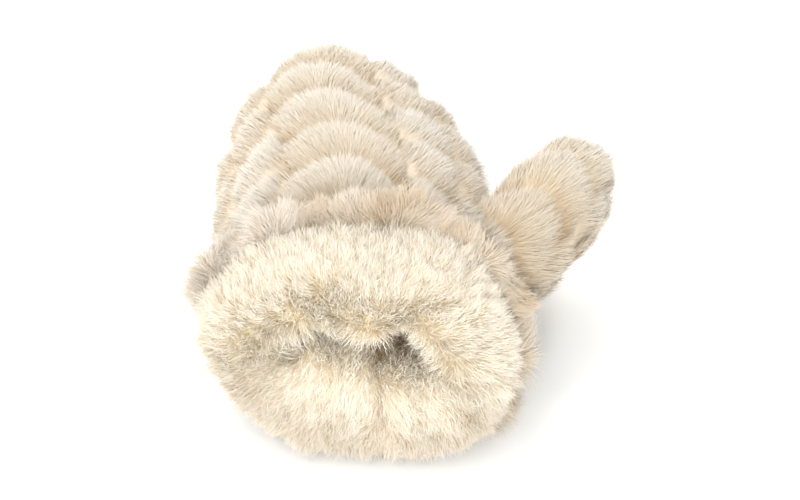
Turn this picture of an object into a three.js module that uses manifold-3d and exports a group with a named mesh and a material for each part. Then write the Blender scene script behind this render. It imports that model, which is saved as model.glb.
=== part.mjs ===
// A right-hand winter mitten of plaited plush fur, as it rests on a table. It lies on its back with the palm
// up, the fingertip points away along +Y and the thumb stands out to +X. The fleece-lined cuff is turned back
// once, so that its fleece faces out round the mouth at -Y. Millimetres, +Z up.
// The wall is four layers deep at the turned-back cuff: fleece, fur, fur, fleece. In the hand it is two.
import * as THREE from "three";
import { mergeVertices } from "three/addons/utils/BufferGeometryUtils.js";
import Module from "manifold-3d";

const wasm = await Module();
wasm.setup();

// Driving sizes
const HAND_LENGTH = 200; // from the fold of the cuff to the fingertip
const TIP = { rounding: 125, power: 1.85, height: 23, drop: 0.6 }; // power 2 is an ellipse, more is blunter
const SQUARENESS = 2.3; // of the hand's sections: 2 is an ellipse
const FLEECE = 5.5; // thickness of the fleece lining
const FUR = 6.5; // thickness of the fur cloth, backing and flattened pile
const SEAT = 0.4; // gap between two layers that lie on each other
const WALL = FLEECE + SEAT + FUR; // from the cavity to the hand's outside
const FOLD = 2 * WALL; // from the mouth's edge to the outside of the turned-back cuff
const MOUTH_BLEND = { from: 24, to: 64 }; // where the mouth's shape turns into the hand's
const LEVEL_AT = 60; // past this the rows are square to the axis, before it they lean with the fold
const SHELL_START = 6; // from the fold back to the wrist seam
const SEAM = { height: 39, slope: -0.072, gap: 0.35 }; // the side seams run between palm and back

// Plaited relief of the fur: pads arched over the hand's middle line, and slanting down in columns beside it
const PLAIT = { column: 23, middle: -6, pad: 28, start: 27, slant: 1, apex: 0.3, height: 5, groove: 2 };
// How a pad drops to its edges, steepest at its rim, and how far the pads stray from their rows
const PAD_ROUND = { power: 3, skew: 1.5, columnShare: 0.45 };
const WANDER = { aside: 3, asideEvery: 19, along: 4, alongEvery: 15 };
const PLAIT_STARTS = { from: 45, to: 58 };
const SEAM_GROOVE = 7; // how far the relief fades beside a side seam
const TIP_FADE = 6; // and before the fingertip

// Turned-back cuff: its hem stands past the fleece in pointed locks
const HEM = { locks: 24, lockDepth: 0.4, shortLock: 0.55, rootShare: 0.4, backShare: 0.35, clear: 1 };
const PUCKERS = { count: 9, height: 0.7 };

// Sections of the hand's outside, from the wrist to the start of the rounded end
const HAND_ROWS = [
  { y: 20, middle: 0, halfWidth: 50, bottom: 10, top: 66 },
  { y: 45, middle: 0, halfWidth: 53, bottom: 6, top: 68 },
  { y: 70, middle: 0, halfWidth: 55, bottom: 1, top: 67 },
  { y: 100, middle: -1, halfWidth: 56, bottom: 0, top: 64 },
  { y: 140, middle: -4.5, halfWidth: 56.5, bottom: 0, top: 61 },
  { y: 175, middle: -7, halfWidth: 56.5, bottom: 0, top: 58 },
  { y: 200, middle: -8.5, halfWidth: 56, bottom: 0, top: 54 },
];

// The turned-back cuff, once round the mouth from +X by way of the top: the edge of the opening (inX, inZ),
// the outside of the fleece (outX, outZ), how far back the fold lies, how far the flap reaches back from it
// and how far the hem of fur stands past the fleece, along and out
const CUFF_ROWS = [
  { name: "right", inX: 35, inZ: 34, outX: 61, outZ: 32, fold: -3, flap: 14, hem: 15, proud: 11 },
  { name: "right_upper", inX: 29.5, inZ: 43, outX: 58, outZ: 48, fold: 0, flap: 20, hem: 11, proud: 8 },
  { name: "right_slope", inX: 22.5, inZ: 50, outX: 48, outZ: 62, fold: 4, flap: 25, hem: 13, proud: 6 },
  { name: "right_notch", inX: 13.5, inZ: 54.5, outX: 32, outZ: 72, fold: 7, flap: 28, hem: 16, proud: 5 },
  { name: "hanging_bulge", inX: 4, inZ: 45.5, outX: 8, outZ: 77, fold: 8, flap: 29, hem: 16, proud: 5 },
  { name: "left_notch", inX: -8, inZ: 52.5, outX: -17, outZ: 77, fold: 10, flap: 27, hem: 16, proud: 5 },
  { name: "left_slope", inX: -20, inZ: 48, outX: -37, outZ: 69, fold: 12, flap: 23, hem: 16, proud: 5 },
  { name: "left_upper", inX: -30, inZ: 42.5, outX: -52, outZ: 58, fold: 12, flap: 21, hem: 15, proud: 6 },
  { name: "left", inX: -35.5, inZ: 36.5, outX: -59.5, outZ: 43, fold: 10, flap: 20, hem: 15, proud: 7 },
  { name: "left_lower", inX: -33, inZ: 32.5, outX: -54, outZ: 26, fold: 6, flap: 22, hem: 14, proud: 5 },
  { name: "bottom_left", inX: -26, inZ: 31, outX: -42, outZ: 11, fold: 1, flap: 24, hem: 14, proud: 3 },
  { name: "bottom_fold", inX: -14, inZ: 30.5, outX: -26, outZ: 2, fold: -4, flap: 26, hem: 14, proud: 2 },
  { name: "bottom", inX: 0, inZ: 30.5, outX: -2, outZ: 0, fold: -8, flap: 28, hem: 14, proud: 2 },
  { name: "bottom_right", inX: 15, inZ: 29.5, outX: 21, outZ: 0, fold: -10, flap: 22, hem: 18, proud: 5 },
  { name: "right_floor", inX: 27, inZ: 29, outX: 40, outZ: 3.5, fold: -10, flap: 10, hem: 24, proud: 11 },
  { name: "right_lower", inX: 33.5, inZ: 30.5, outX: 54, outZ: 14, fold: -7, flap: 6, hem: 24, proud: 13 },
];

// The thumb's axis, from inside the palm to its tip, with the half sizes of its outside there
const THUMB_ROWS = [
  { x: 31, y: 45, z: 34, halfWidth: 18, halfDepth: 15 },
  { x: 51, y: 52.5, z: 34, halfWidth: 22, halfDepth: 20 },
  { x: 66, y: 62, z: 38, halfWidth: 21.5, halfDepth: 20 },
  { x: 79, y: 76, z: 43, halfWidth: 20.5, halfDepth: 19.5 },
  { x: 91, y: 89, z: 49, halfWidth: 18.5, halfDepth: 17.5 },
];
const THUMB = { squareness: 2.7, past: 15, rounding: 25, tipPower: 2.6, relief: 2.5, pad: 26 };

// Number of stations round, and how rows crowd towards a rounded end
const GRID = { hand: 56, layer: 36, thumb: 24, thumbLayer: 16 };
const CROWDING = { hand: 1.28, thumb: 1.2 };
const END_GAP = 0.3; // the last row stops this far short of a rounded end
const LAYER_ROWS = [0, 0.132, 0.215, 0.318, 0.484, 0.67, 0.835, 0.948, 1]; // of the layers in the hand
const ROLL_ROWS = [0.25, 0.5, 0.75]; // of the layers in the fold

// Plain helpers
const clamp01 = (v) => Math.min(1, Math.max(0, v));
const smooth = (v) => clamp01(v) ** 2 * (3 - 2 * clamp01(v));
const ramp = (v, range) => smooth((v - range.from) / (range.to - range.from));
const mix = (a, b, t) => a + (b - a) * t;
const signedPower = (v, p) => Math.sign(v) * Math.abs(v) ** p;
const range = (count) => Array.from({ length: count }, (_, i) => i);

// Catmull-Rom value of one column of a table, at a place given in rows
function rowValue(rows, key, place, closed) {
  const count = rows.length;
  const at = closed ? place : Math.min(count - 1, Math.max(0, place));
  const i = Math.floor(at);
  const t = at - i;
  const pick = (k) => rows[closed ? (k + count) % count : Math.min(count - 1, Math.max(0, k))][key];
  const [a, b, c, d] = [pick(i - 1), pick(i), pick(i + 1), pick(i + 2)];
  return b + 0.5 * t * (c - a + t * (2 * a - 5 * b + 4 * c - d + t * (3 * (b - c) + d - a)));
}

// The place in a table, in rows, of a value of its first column
function placeOf(rows, key, value) {
  const last = rows.length - 1;
  const next = rows.findIndex((row) => row[key] > value);
  const i = next < 0 ? last - 1 : Math.max(0, next - 1);
  return Math.min(last, Math.max(0, i + (value - rows[i][key]) / (rows[i + 1][key] - rows[i][key])));
}

const centreOf = (points) =>
  points.reduce((sum, p) => sum.add(p), new THREE.Vector3()).divideScalar(points.length);

// Closed body from rings of points: the first and the last ring are closed by a fan, or the whole loops round
function bodyFromRings(rings, looped = false) {
  const round = rings[0].length;
  const points = rings.flat();
  const faces = [];
  const bands = looped ? rings.length : rings.length - 1;
  for (let j = 0; j < bands; j++)
    for (let i = 0; i < round; i++) {
      const a = j * round + i;
      const b = j * round + ((i + 1) % round);
      const c = ((j + 1) % rings.length) * round + ((i + 1) % round);
      const d = ((j + 1) % rings.length) * round + i;
      const alongShorter = points[a].distanceTo(points[c]) < points[b].distanceTo(points[d]);
      faces.push(...(alongShorter ? [a, b, c, a, c, d] : [a, b, d, b, c, d]));
    }
  if (!looped)
    for (const [j, turned] of [[0, true], [rings.length - 1, false]]) {
      points.push(centreOf(rings[j]));
      for (let i = 0; i < round; i++) {
        const edge = [j * round + i, j * round + ((i + 1) % round)];
        faces.push(...(turned ? [edge[1], edge[0]] : edge), points.length - 1);
      }
    }
  const geometry = new THREE.BufferGeometry().setFromPoints(points);
  geometry.setIndex(faces);
  return geometry;
}

function solidFrom(geometry) {
  const merged = mergeVertices(geometry, 1e-4);
  const [vertProperties, triVerts] = [merged.attributes.position.array, merged.index.array];
  const solid = new wasm.Manifold(new wasm.Mesh({ numProp: 3, vertProperties, triVerts }));
  return solid.volume() < 0 ? solidFrom(turnedRound(merged)) : solid;
}

function turnedRound(geometry) {
  const index = geometry.index.array;
  for (let i = 0; i < index.length; i += 3) [index[i], index[i + 1]] = [index[i + 1], index[i]];
  return geometry;
}

function geometryFrom(solid) {
  const { numProp, numVert, vertProperties, triVerts } = solid.getMesh();
  const points = range(numVert).map((i) => new THREE.Vector3().fromArray(vertProperties, i * numProp));
  const geometry = new THREE.BufferGeometry().setFromPoints(points);
  geometry.setIndex([...triVerts]);
  geometry.computeVertexNormals();
  return geometry;
}

// Share of the full width left at a place in a rounded end, past going from 0 to 1
const roundedShare = (past, power) => (1 - Math.min(past, 0.9995) ** power) ** (1 / power);

// One section of the hand, at a depth in the wall: 0 is the cavity and WALL the outside
function handPoint(turn, y, depth) {
  const place = placeOf(HAND_ROWS, "y", y);
  const value = (key) => rowValue(HAND_ROWS, key, place, false);
  const inset = WALL - depth;
  const past = clamp01((y - (HAND_LENGTH - inset - TIP.rounding)) / TIP.rounding);
  const share = roundedShare(past, TIP.power);
  const halfHeight = ((value("top") - value("bottom")) / 2 - inset) * share;
  const halfWidth = (value("halfWidth") - inset) * share;
  const centre = mix((value("top") + value("bottom")) / 2, TIP.height, smooth(past) * TIP.drop);
  const angle = turn * 2 * Math.PI;
  return new THREE.Vector3(
    value("middle") + halfWidth * signedPower(Math.cos(angle), 2 / SQUARENESS),
    y,
    centre + halfHeight * signedPower(Math.sin(angle), 2 / SQUARENESS),
  );
}

// The turned-back cuff's own measures at a turn round the mouth
function cuffAt(turn) {
  const value = (key) => rowValue(CUFF_ROWS, key, turn * CUFF_ROWS.length, true);
  const inner = new THREE.Vector3(value("inX"), 0, value("inZ"));
  const outer = new THREE.Vector3(value("outX"), 0, value("outZ"));
  const core = inner.clone().lerp(outer, 0.5);
  const [fold, flap, hem, proud] = ["fold", "flap", "hem", "proud"].map(value);
  return { inner, outer, core, fold, flap, hem, proud };
}

// A point of the pouch, at a row measured back from the fold and at a depth in the wall
function pouchPoint(turn, row, depth) {
  const cuff = cuffAt(turn);
  const y = row + cuff.fold * (1 - smooth(row / LEVEL_AT));
  const mouth = cuff.inner.clone().lerp(cuff.outer, depth / FOLD).setY(y);
  return mouth.lerp(handPoint(turn, y, depth), ramp(row, MOUTH_BLEND));
}

// A point of the rolled edge: the roll runs from 0 at the opening's side to 1 at the outside
function rollPoint(turn, roll, depth) {
  const { core, inner, outer, fold } = cuffAt(turn);
  const share = (WALL - depth) / WALL;
  const angle = roll * Math.PI;
  const side = inner.clone().sub(core);
  const forward = outer.distanceTo(inner) / 2;
  const pucker = 1 + (PUCKERS.height / WALL) * Math.sin(PUCKERS.count * turn * 2 * Math.PI);
  return core
    .clone()
    .addScaledVector(side, share * Math.cos(angle))
    .add(new THREE.Vector3(0, fold - share * forward * pucker * Math.sin(angle), 0));
}

// A point of the flap, the part of the cuff turned back over the wrist, so many millimetres from the fold.
// The flap flares as the pouch under it widens.
function flapPoint(turn, along, depth) {
  const { core, outer, fold } = cuffAt(turn);
  const outward = outer.clone().sub(core).divideScalar(WALL);
  const under = pouchPoint(turn, along, WALL);
  const flare = Math.max(0, under.clone().sub(core).setY(0).dot(outward) / outward.lengthSq());
  const point = core.clone().addScaledVector(outward, flare + WALL - depth);
  return point.setY(along + fold * (1 - smooth(along / LEVEL_AT)));
}

const onTable = (point) => point.setZ(Math.max(0, point.z));
const ring = (count, at) => range(count).map((i) => onTable(at(i / count)));

// A ring of twice the stations whose extra ones lie on its straight edges
const splitRing = (points) =>
  points.flatMap((point, i) => [point, point.clone().lerp(points[(i + 1) % points.length], 0.5)]);

// Rows closer together where the finger end rounds off
const rowsAlong = (from, end, count, crowding) =>
  range(count).map((j) => mix(from, end, 1 - (1 - j / (count - 1)) ** crowding));

// Height of the plaited pads at a place on the cloth: across from its middle line, along from the fold.
// The middle column is twice as wide as the others, and neighbouring columns lie half a pad apart.
function plaitHeight(across, along, pad = PLAIT.pad, height = PLAIT.height) {
  const aside = Math.abs(across + WANDER.aside * Math.sin(along / WANDER.asideEvery)) / PLAIT.column;
  const column = Math.floor(aside);
  const inColumn = column === 0 ? aside : 2 * (aside - column) - 1;
  const arch = PLAIT.slant * PLAIT.column * (Math.sqrt(aside ** 2 + PLAIT.apex ** 2) - PLAIT.apex);
  const strayed = along + WANDER.along * Math.sin(across / WANDER.alongEvery);
  const step = (strayed + arch - PLAIT.start) / pad + (column % 2) / 2;
  const inPad = (step - Math.floor(step)) ** PAD_ROUND.skew;
  const drop = mix(
    Math.abs(2 * inPad - 1) ** PAD_ROUND.power,
    Math.abs(inColumn) ** PAD_ROUND.power,
    PAD_ROUND.columnShare,
  );
  return (height + PLAIT.groove) * (1 - drop) - PLAIT.groove;
}

// Raises the plaited pads on a grid of rings whose stations start at +X and turn by way of the top
function plaited(rings, heightAt) {
  const round = rings[0].length;
  return rings.map((points, j) => {
    const before = rings[Math.max(0, j - 1)];
    const after = rings[Math.min(rings.length - 1, j + 1)];
    return points.map((point, i) => {
      const across = points[(i + 1) % round].clone().sub(points[(i + round - 1) % round]);
      const normal = after[i].clone().sub(before[i]).cross(across).normalize();
      return onTable(point.clone().addScaledVector(normal, heightAt(points, i, j)));
    });
  });
}

// Distance along a ring from one station to another
function reachBetween(points, from, to) {
  const round = points.length;
  const [low, high] = from < to ? [from, to] : [to, from];
  let length = 0;
  for (let k = low; k < high; k++) length += points[k % round].distanceTo(points[(k + 1) % round]);
  return from < to ? length : -length;
}

// Outside of the hand with its pads, which fade into the side seams and the fingertip
function handOutside() {
  const rows = rowsAlong(SHELL_START, HAND_LENGTH - END_GAP, 29, CROWDING.hand);
  const rings = rows.map((row) => ring(GRID.hand, (turn) => pouchPoint(turn, row, WALL)));
  const edge = ring(GRID.hand, (turn) => pouchPoint(turn, SHELL_START, FLEECE));
  const quarter = GRID.hand / 4;
  const raised = plaited(rings, (points, i, j) => {
    const palm = i < 2 * quarter;
    const middle = palm ? quarter : 3 * quarter;
    const across = (palm ? -1 : 1) * reachBetween(points, middle, i);
    const half = Math.abs(reachBetween(points, middle, middle - quarter));
    const besideSeam = smooth((half - Math.abs(across)) / SEAM_GROOVE);
    const beforeTip = smooth((HAND_LENGTH - rows[j]) / TIP_FADE);
    return ramp(rows[j], PLAIT_STARTS) * besideSeam * beforeTip * plaitHeight(across - PLAIT.middle, rows[j]);
  });
  return [edge, ...raised];
}

// The layers under the fur share their rows and stations, so that they lie parallel
function handLayer(depth) {
  const end = HAND_LENGTH - (WALL - depth) - END_GAP;
  return LAYER_ROWS.map((share) =>
    ring(GRID.layer, (turn) => pouchPoint(turn, mix(SHELL_START, end, share), depth)),
  );
}

// The whole inside of a layer, filled, with the mouth's own stretch
const handFilled = (depth) =>
  solidFrom(bodyFromRings([ring(GRID.layer, (turn) => pouchPoint(turn, 0, depth)), ...handLayer(depth)]));

// The thumb, as deep in its wall as asked: WALL is its outside
function thumbRings(depth, count, stations) {
  const inset = WALL - depth;
  const last = THUMB_ROWS.length - 1;
  const axis = new THREE.CatmullRomCurve3(THUMB_ROWS.map(({ x, y, z }) => new THREE.Vector3(x, y, z)));
  const length = axis.getLength();
  const reach = length + THUMB.past - inset;
  return rowsAlong(0, reach, count, CROWDING.thumb).map((along) => {
    const t = Math.min(1, along / length);
    const forward = axis.getTangent(t);
    const centre = axis.getPoint(t).addScaledVector(forward, Math.max(0, along - length));
    const depthWay = new THREE.Vector3(0, 0, 1).addScaledVector(forward, -forward.z).normalize();
    const widthWay = forward.clone().cross(depthWay);
    const share = roundedShare(clamp01(1 - (reach - along) / THUMB.rounding), THUMB.tipPower);
    const halfWidth = (rowValue(THUMB_ROWS, "halfWidth", t * last, false) - inset) * share;
    const halfDepth = (rowValue(THUMB_ROWS, "halfDepth", t * last, false) - inset) * share;
    return ring(stations, (turn) => {
      const angle = turn * 2 * Math.PI;
      return centre
        .clone()
        .addScaledVector(widthWay, halfWidth * signedPower(Math.cos(angle), 2 / THUMB.squareness))
        .addScaledVector(depthWay, halfDepth * signedPower(Math.sin(angle), 2 / THUMB.squareness));
    });
  });
}

// Outside of the thumb with its pads, which start past its root and fade at its tip, swollen by a clearance
function thumbOutside(clearance) {
  const rings = thumbRings(WALL, 16, GRID.thumb);
  const top = GRID.thumb / 4;
  return plaited(rings, (points, i, j) => {
    const strength = smooth((j - 3) / 3) * smooth((rings.length - 1 - j) / 2);
    const along = centreOf(rings[0]).distanceTo(centreOf(points));
    return clearance + strength * plaitHeight(reachBetween(points, top, i), along, THUMB.pad, THUMB.relief);
  });
}

// Fleece facing of the cuff: from just inside the mouth out over the fold and back over the wrist
function cuffFleeceSolid() {
  const onFlap = (share, depth) => (turn) => flapPoint(turn, share * cuffAt(turn).flap, depth);
  const side = (depth, flapShares) => [
    ring(GRID.layer, (turn) => pouchPoint(turn, SHELL_START - SEAT, depth)),
    ring(GRID.layer, (turn) => pouchPoint(turn, 0, depth)),
    ...ROLL_ROWS.map((r) => ring(GRID.layer, (turn) => rollPoint(turn, r, depth))),
    ...flapShares.map((share) => ring(GRID.layer, onFlap(share, depth))),
  ];
  return solidFrom(bodyFromRings([...side(0, [0, 0.5, 1]), ...side(FLEECE, [0, 1]).reverse()], true));
}

// A hollow hand in its palm and back halves, which meet at the side seams
function halves(hand) {
  const up = new THREE.Vector3(0, -SEAM.slope, 1).normalize();
  const offset = SEAM.height * up.z;
  return {
    palm: hand.trimByPlane([up.x, up.y, up.z], offset + SEAM.gap / 2),
    back: hand.trimByPlane([-up.x, -up.y, -up.z], -offset + SEAM.gap / 2),
  };
}

const thumbBag = (depth) => solidFrom(bodyFromRings(thumbRings(depth, 9, GRID.thumbLayer)));

// Palm, back and thumb of the fleece lining; the thumb passes through a hole in the hand's side
function liningSolids() {
  const hand = solidFrom(bodyFromRings([...handLayer(0).reverse(), ...handLayer(FLEECE)]));
  return {
    ...halves(hand.subtract(thumbBag(FLEECE + SEAT))),
    thumb: thumbBag(FLEECE).subtract(thumbBag(0)).subtract(handFilled(0)),
  };
}

// How far the hem's locks reach at a turn, as a share: pointed, with every third one shorter
function lockReach(turn) {
  const place = turn * HEM.locks;
  const inLock = place - Math.floor(place);
  const size = Math.floor(place) % 3 === 1 ? HEM.shortLock : 1;
  return 1 - HEM.lockDepth * (1 - size * (1 - Math.abs(2 * inLock - 1)));
}

// Cuff of long fur, folded on itself: it fills the fold under the fleece, and its hem wraps round the fleece
function cuffFurSolid() {
  const skin = FLEECE + SEAT;
  const inside = WALL - SEAT;
  const besideFleece = (at) => splitRing(ring(GRID.layer, at));
  const free = (at) => ring(2 * GRID.layer, at);
  const hemPoint = (turn, along, depth) => {
    const { flap, hem } = cuffAt(turn);
    return flapPoint(turn, flap + hem * along, depth);
  };
  const rings = [
    besideFleece((turn) => pouchPoint(turn, SHELL_START - SEAT, skin)),
    besideFleece((turn) => rollPoint(turn, 0, skin)),
    ...ROLL_ROWS.map((r) => besideFleece((turn) => rollPoint(turn, r, skin))),
    besideFleece((turn) => flapPoint(turn, 0, skin)),
    besideFleece((turn) => flapPoint(turn, cuffAt(turn).flap + SEAT, skin)),
    besideFleece((turn) => flapPoint(turn, cuffAt(turn).flap + SEAT, -cuffAt(turn).proud * HEM.rootShare)),
    free((turn) => hemPoint(turn, 0.5, -cuffAt(turn).proud * lockReach(turn))),
    free((turn) => hemPoint(turn, lockReach(turn), FLEECE / 2)),
    free((turn) => hemPoint(turn, HEM.backShare, WALL - HEM.clear)),
    free((turn) => flapPoint(turn, SHELL_START - SEAT, inside)),
  ];
  return solidFrom(bodyFromRings(rings, true));
}

// Palm, back and thumb of plaited fur; the thumb is set into the hand's side through a hole cut for it
function shellSolids() {
  const skin = FLEECE + SEAT;
  const inner = handFilled(skin);
  const hand = solidFrom(bodyFromRings(handOutside())).subtract(inner);
  const thumb = solidFrom(bodyFromRings(thumbOutside(0)));
  return {
    ...halves(hand.subtract(solidFrom(bodyFromRings(thumbOutside(SEAT))))),
    thumb: thumb.subtract(thumbBag(skin)).subtract(inner),
  };
}

// Colours
const FUR_CLOTH = 0xe5d6c3;
const CUFF_FUR = 0xe6d7c8;
const FLEECE_CLOTH = 0xf0e9d8;

function part(name, solid, color) {
  const material = new THREE.MeshStandardMaterial({ color, roughness: 0.95, metalness: 0 });
  const mesh = new THREE.Mesh(geometryFrom(solid), material);
  mesh.name = name;
  return mesh;
}

const mitten = new THREE.Group();
const shell = shellSolids();
const lining = liningSolids();
mitten.add(part("shell_palm", shell.palm, FUR_CLOTH));
mitten.add(part("shell_back", shell.back, FUR_CLOTH));
mitten.add(part("shell_thumb", shell.thumb, FUR_CLOTH));
mitten.add(part("cuff_fur", cuffFurSolid(), CUFF_FUR));
mitten.add(part("cuff_fleece", cuffFleeceSolid(), FLEECE_CLOTH));
mitten.add(part("lining_palm", lining.palm, FLEECE_CLOTH));
mitten.add(part("lining_back", lining.back, FLEECE_CLOTH));
mitten.add(part("lining_thumb", lining.thumb, FLEECE_CLOTH));

// The origin is under the middle of the whole, on the table
const box = new THREE.Box3().setFromObject(mitten);
const middle = box.getCenter(new THREE.Vector3());
mitten.children.forEach((mesh) => mesh.position.set(-middle.x, -middle.y, -box.min.z));

export default mitten;
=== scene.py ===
"""Looks of a right-hand mitten of plaited plush fur, lying palm up with its fleece-lined cuff turned back.

The solids give the form. Here each layer is made again as cloth with its pile: short curved strands grown by
Geometry Nodes on thin backings that follow the same tables as the solids. Tables are in millimetres, in the
frame of the tables, and every mesh is written in metres in the frame of the part.
"""
import logging
import math
from dataclasses import dataclass, replace
from enum import Enum

import bmesh
import bpy
import numpy as np
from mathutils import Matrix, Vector


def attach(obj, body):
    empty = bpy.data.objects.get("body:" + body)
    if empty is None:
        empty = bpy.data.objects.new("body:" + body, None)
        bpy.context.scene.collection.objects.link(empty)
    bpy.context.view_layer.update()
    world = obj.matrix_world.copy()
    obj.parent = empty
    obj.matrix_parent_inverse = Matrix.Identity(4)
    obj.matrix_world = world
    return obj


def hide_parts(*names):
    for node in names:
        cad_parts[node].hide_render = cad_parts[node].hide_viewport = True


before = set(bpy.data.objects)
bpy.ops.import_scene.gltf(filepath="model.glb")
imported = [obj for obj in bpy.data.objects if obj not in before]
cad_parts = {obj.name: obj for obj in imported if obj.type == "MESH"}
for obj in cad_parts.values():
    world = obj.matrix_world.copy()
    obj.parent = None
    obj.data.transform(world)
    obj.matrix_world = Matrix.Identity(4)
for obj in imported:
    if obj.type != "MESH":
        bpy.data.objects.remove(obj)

LOG = logging.getLogger("mitten")
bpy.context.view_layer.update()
MM = 0.001
TABLE_SHIFT = np.array([-21.6641, -86.9396, 0.0])  # from the tables' frame to the part's, in mm
BODY = "root"

# Kinds of node that are used again and again
MATH = "ShaderNodeMath"
VECTOR = "ShaderNodeVectorMath"
NOISE = "ShaderNodeTexNoise"
CHANCE = "FunctionNodeRandomValue"
NAMED = "GeometryNodeInputNamedAttribute"
STORE = "GeometryNodeStoreNamedAttribute"
SCATTER = "GeometryNodeDistributePointsOnFaces"
AXES = "FunctionNodeAxesToRotation"

# Habits of every strand
TWIST = 0.3  # how far a strand may turn about itself
WAIST = 0.55  # where its middle is, as a share of its length
LENGTHS = (0.72, 1.12)  # the shortest and the longest strand, as shares of the pile's length
MAP = "OFBake"  # its map: across it runs the tone, and up it the length
MAP_EDGE = 0.02  # the map keeps this far off its edges
DARK_STOP = 0.3  # tone of the darker strands, under which a strand takes the painted shade colour
PALE_FROM = 0.75  # share of a strand's length from which it has its tip's colour
OFF_FLOOR = 0.0001  # height that every tip keeps over the floor, in metres
MERGED = 2e-6  # points of a cloth nearer than this, in metres, become one

# Sizes of the wall, in mm, measured from the cavity outwards
FLEECE = 5.5
FUR = 6.5
SEAT = 0.4
WALL = FLEECE + SEAT + FUR
FOLD = 2 * WALL
CLOTH_FROM = FLEECE + SEAT + 0.3  # depth of the fur cloth's inner face
CLOTH_TO = WALL - SEAT - 0.4  # depth of the turned-back cloth where it meets the pouch
LINING_TO = FLEECE - 0.2  # depth of the lining's outer face
HAND_LENGTH = 200.0
SHORT_OF = 0.05  # the last ring stays this far short of a closed end
# The fingertips' rounded end: its length, the power of its curve, and how its middle sinks
TIP = {"rounding": 125.0, "power": 1.85, "height": 23.0, "drop": 0.6}
SQUARENESS = 2.3  # power of the hand's section, 2 for an ellipse
MOUTH_BLEND = (24.0, 64.0)  # rows between which the mouth's shape turns into the hand's
LEVEL_AT = 60.0  # how far back the fold's waves are felt
SEAM = {"height": 39.0, "slope": -0.072}  # the side seam between palm and back
# Plaited pads: a column's width, the middle line, a pad's length, the first one, and the arch's slant and top
PLAIT = {"column": 23.0, "middle": -6.0, "pad": 28.0, "start": 27.0, "slant": 1.0, "apex": 0.3}
PAD_ROUND = {"height": 5.0, "groove": 2.0, "power": 3.0, "skew": 1.5, "column_share": 0.45}
WANDER = {"aside": 3.0, "aside_every": 19.0, "along": 4.0, "along_every": 15.0}
PLAIT_STARTS = (45.0, 58.0)  # rows between which the pads rise
SEAM_GROOVE = 7.0  # how far from the side seam they flatten
TIP_FADE = 6.0  # how far from the fingertips' end they flatten
CREST_MIDDLE = 0.6  # crest of a pad at which its tone is neither raised nor lowered
RIM_AT = (0.15, 0.6)  # where in a pad its rim starts to count, and over how much of it
THUMB = {"squareness": 2.7, "past": 15.0, "rounding": 25.0, "tip_power": 2.6, "relief": 2.5, "pad": 26.0}
PUCKERS = {"count": 9, "height": 0.7}  # of the rolled edge

HAND_ROWS = {
    "y": (20, 45, 70, 100, 140, 175, 200),
    "middle": (0, 0, 0, -1, -4.5, -7, -8.5),
    "half_width": (50, 53, 55, 56, 56.5, 56.5, 56),
    "bottom": (10, 6, 1, 0, 0, 0, 0),
    "top": (66, 68, 67, 64, 61, 58, 54),
}
# Once round the mouth from the thumb's side by way of the top
CUFF_ROWS = {
    "in_x": (35, 29.5, 22.5, 13.5, 4, -8, -20, -30, -35.5, -33, -26, -14, 0, 15, 27, 33.5),
    "in_z": (34, 43, 50, 54.5, 45.5, 52.5, 48, 42.5, 36.5, 32.5, 31, 30.5, 30.5, 29.5, 29, 30.5),
    "out_x": (61, 58, 48, 32, 8, -17, -37, -52, -59.5, -54, -42, -26, -2, 21, 40, 54),
    "out_z": (32, 48, 62, 72, 77, 77, 69, 58, 43, 26, 11, 2, 0, 0, 3.5, 14),
    "fold": (-3, 0, 4, 7, 8, 10, 12, 12, 10, 6, 1, -4, -8, -10, -10, -7),
    "flap": (14, 20, 25, 28, 29, 27, 23, 21, 20, 22, 24, 26, 28, 22, 10, 6),
    "hem": (15, 11, 13, 16, 16, 16, 16, 15, 15, 14, 14, 14, 14, 18, 24, 24),
    "proud": (11, 8, 6, 5, 5, 5, 5, 6, 7, 5, 3, 2, 2, 5, 11, 13),
}
THUMB_ROWS = {
    "x": (31, 51, 66, 79, 91),
    "y": (45, 52.5, 62, 76, 89),
    "z": (34, 34, 38, 43, 49),
    "half_width": (18, 22, 21.5, 20.5, 18.5),
    "half_depth": (15, 20, 20, 19.5, 17.5),
}
# The hem's outline: past the flap in mm and as a share of the hem, and its depth less its share of proud
HEM_ROWS = {
    "past": (0.5, 0.8, 0, 0, 0, 0, 0),
    "share": (0, 0, 0.3, 0.5, 0.62, 0.5, 0.3),
    "depth": (2.5, 0, 0, 0, 3.0, 8.0, CLOTH_TO),
    "proud": (0, 0.15, 0.45, 0.3, 0, 0, 0),
}

Pads = dict[str, np.ndarray]  # what a plait lays, measure by measure


class Side(Enum):
    """Which half of the hand a patch of fur cloth covers."""

    PALM = "palm"
    BACK = "back"


class Joining(Enum):
    """How one closed cloth is worked into another."""

    CUT = "DIFFERENCE"
    SEWN = "UNION"


def smooth(value: np.ndarray) -> np.ndarray:
    """Smooth step of a value from 0 to 1."""
    held = np.clip(value, 0.0, 1.0)
    return held * held * (3 - 2 * held)


def hump(offset: np.ndarray, width: float) -> np.ndarray:
    """Bell curve of an offset, from 1 at its middle to almost nothing at twice the width."""
    return np.exp(-((offset / width) ** 2))


def ripples(angle: np.ndarray, *waves: tuple[float, float, float]) -> np.ndarray:
    """Sum of sine waves round the mouth, each with its count, phase and strength."""
    return sum(np.sin(angle * count + phase) * strength for count, phase, strength in waves)


def signed_power(value: np.ndarray, power: float) -> np.ndarray:
    """Power of a value's size, with its sign kept."""
    return np.sign(value) * np.abs(value) ** power


def unit(vectors: np.ndarray) -> np.ndarray:
    """Vectors brought to length 1."""
    return vectors / np.maximum(np.linalg.norm(vectors, axis=-1, keepdims=True), 1e-9)


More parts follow.
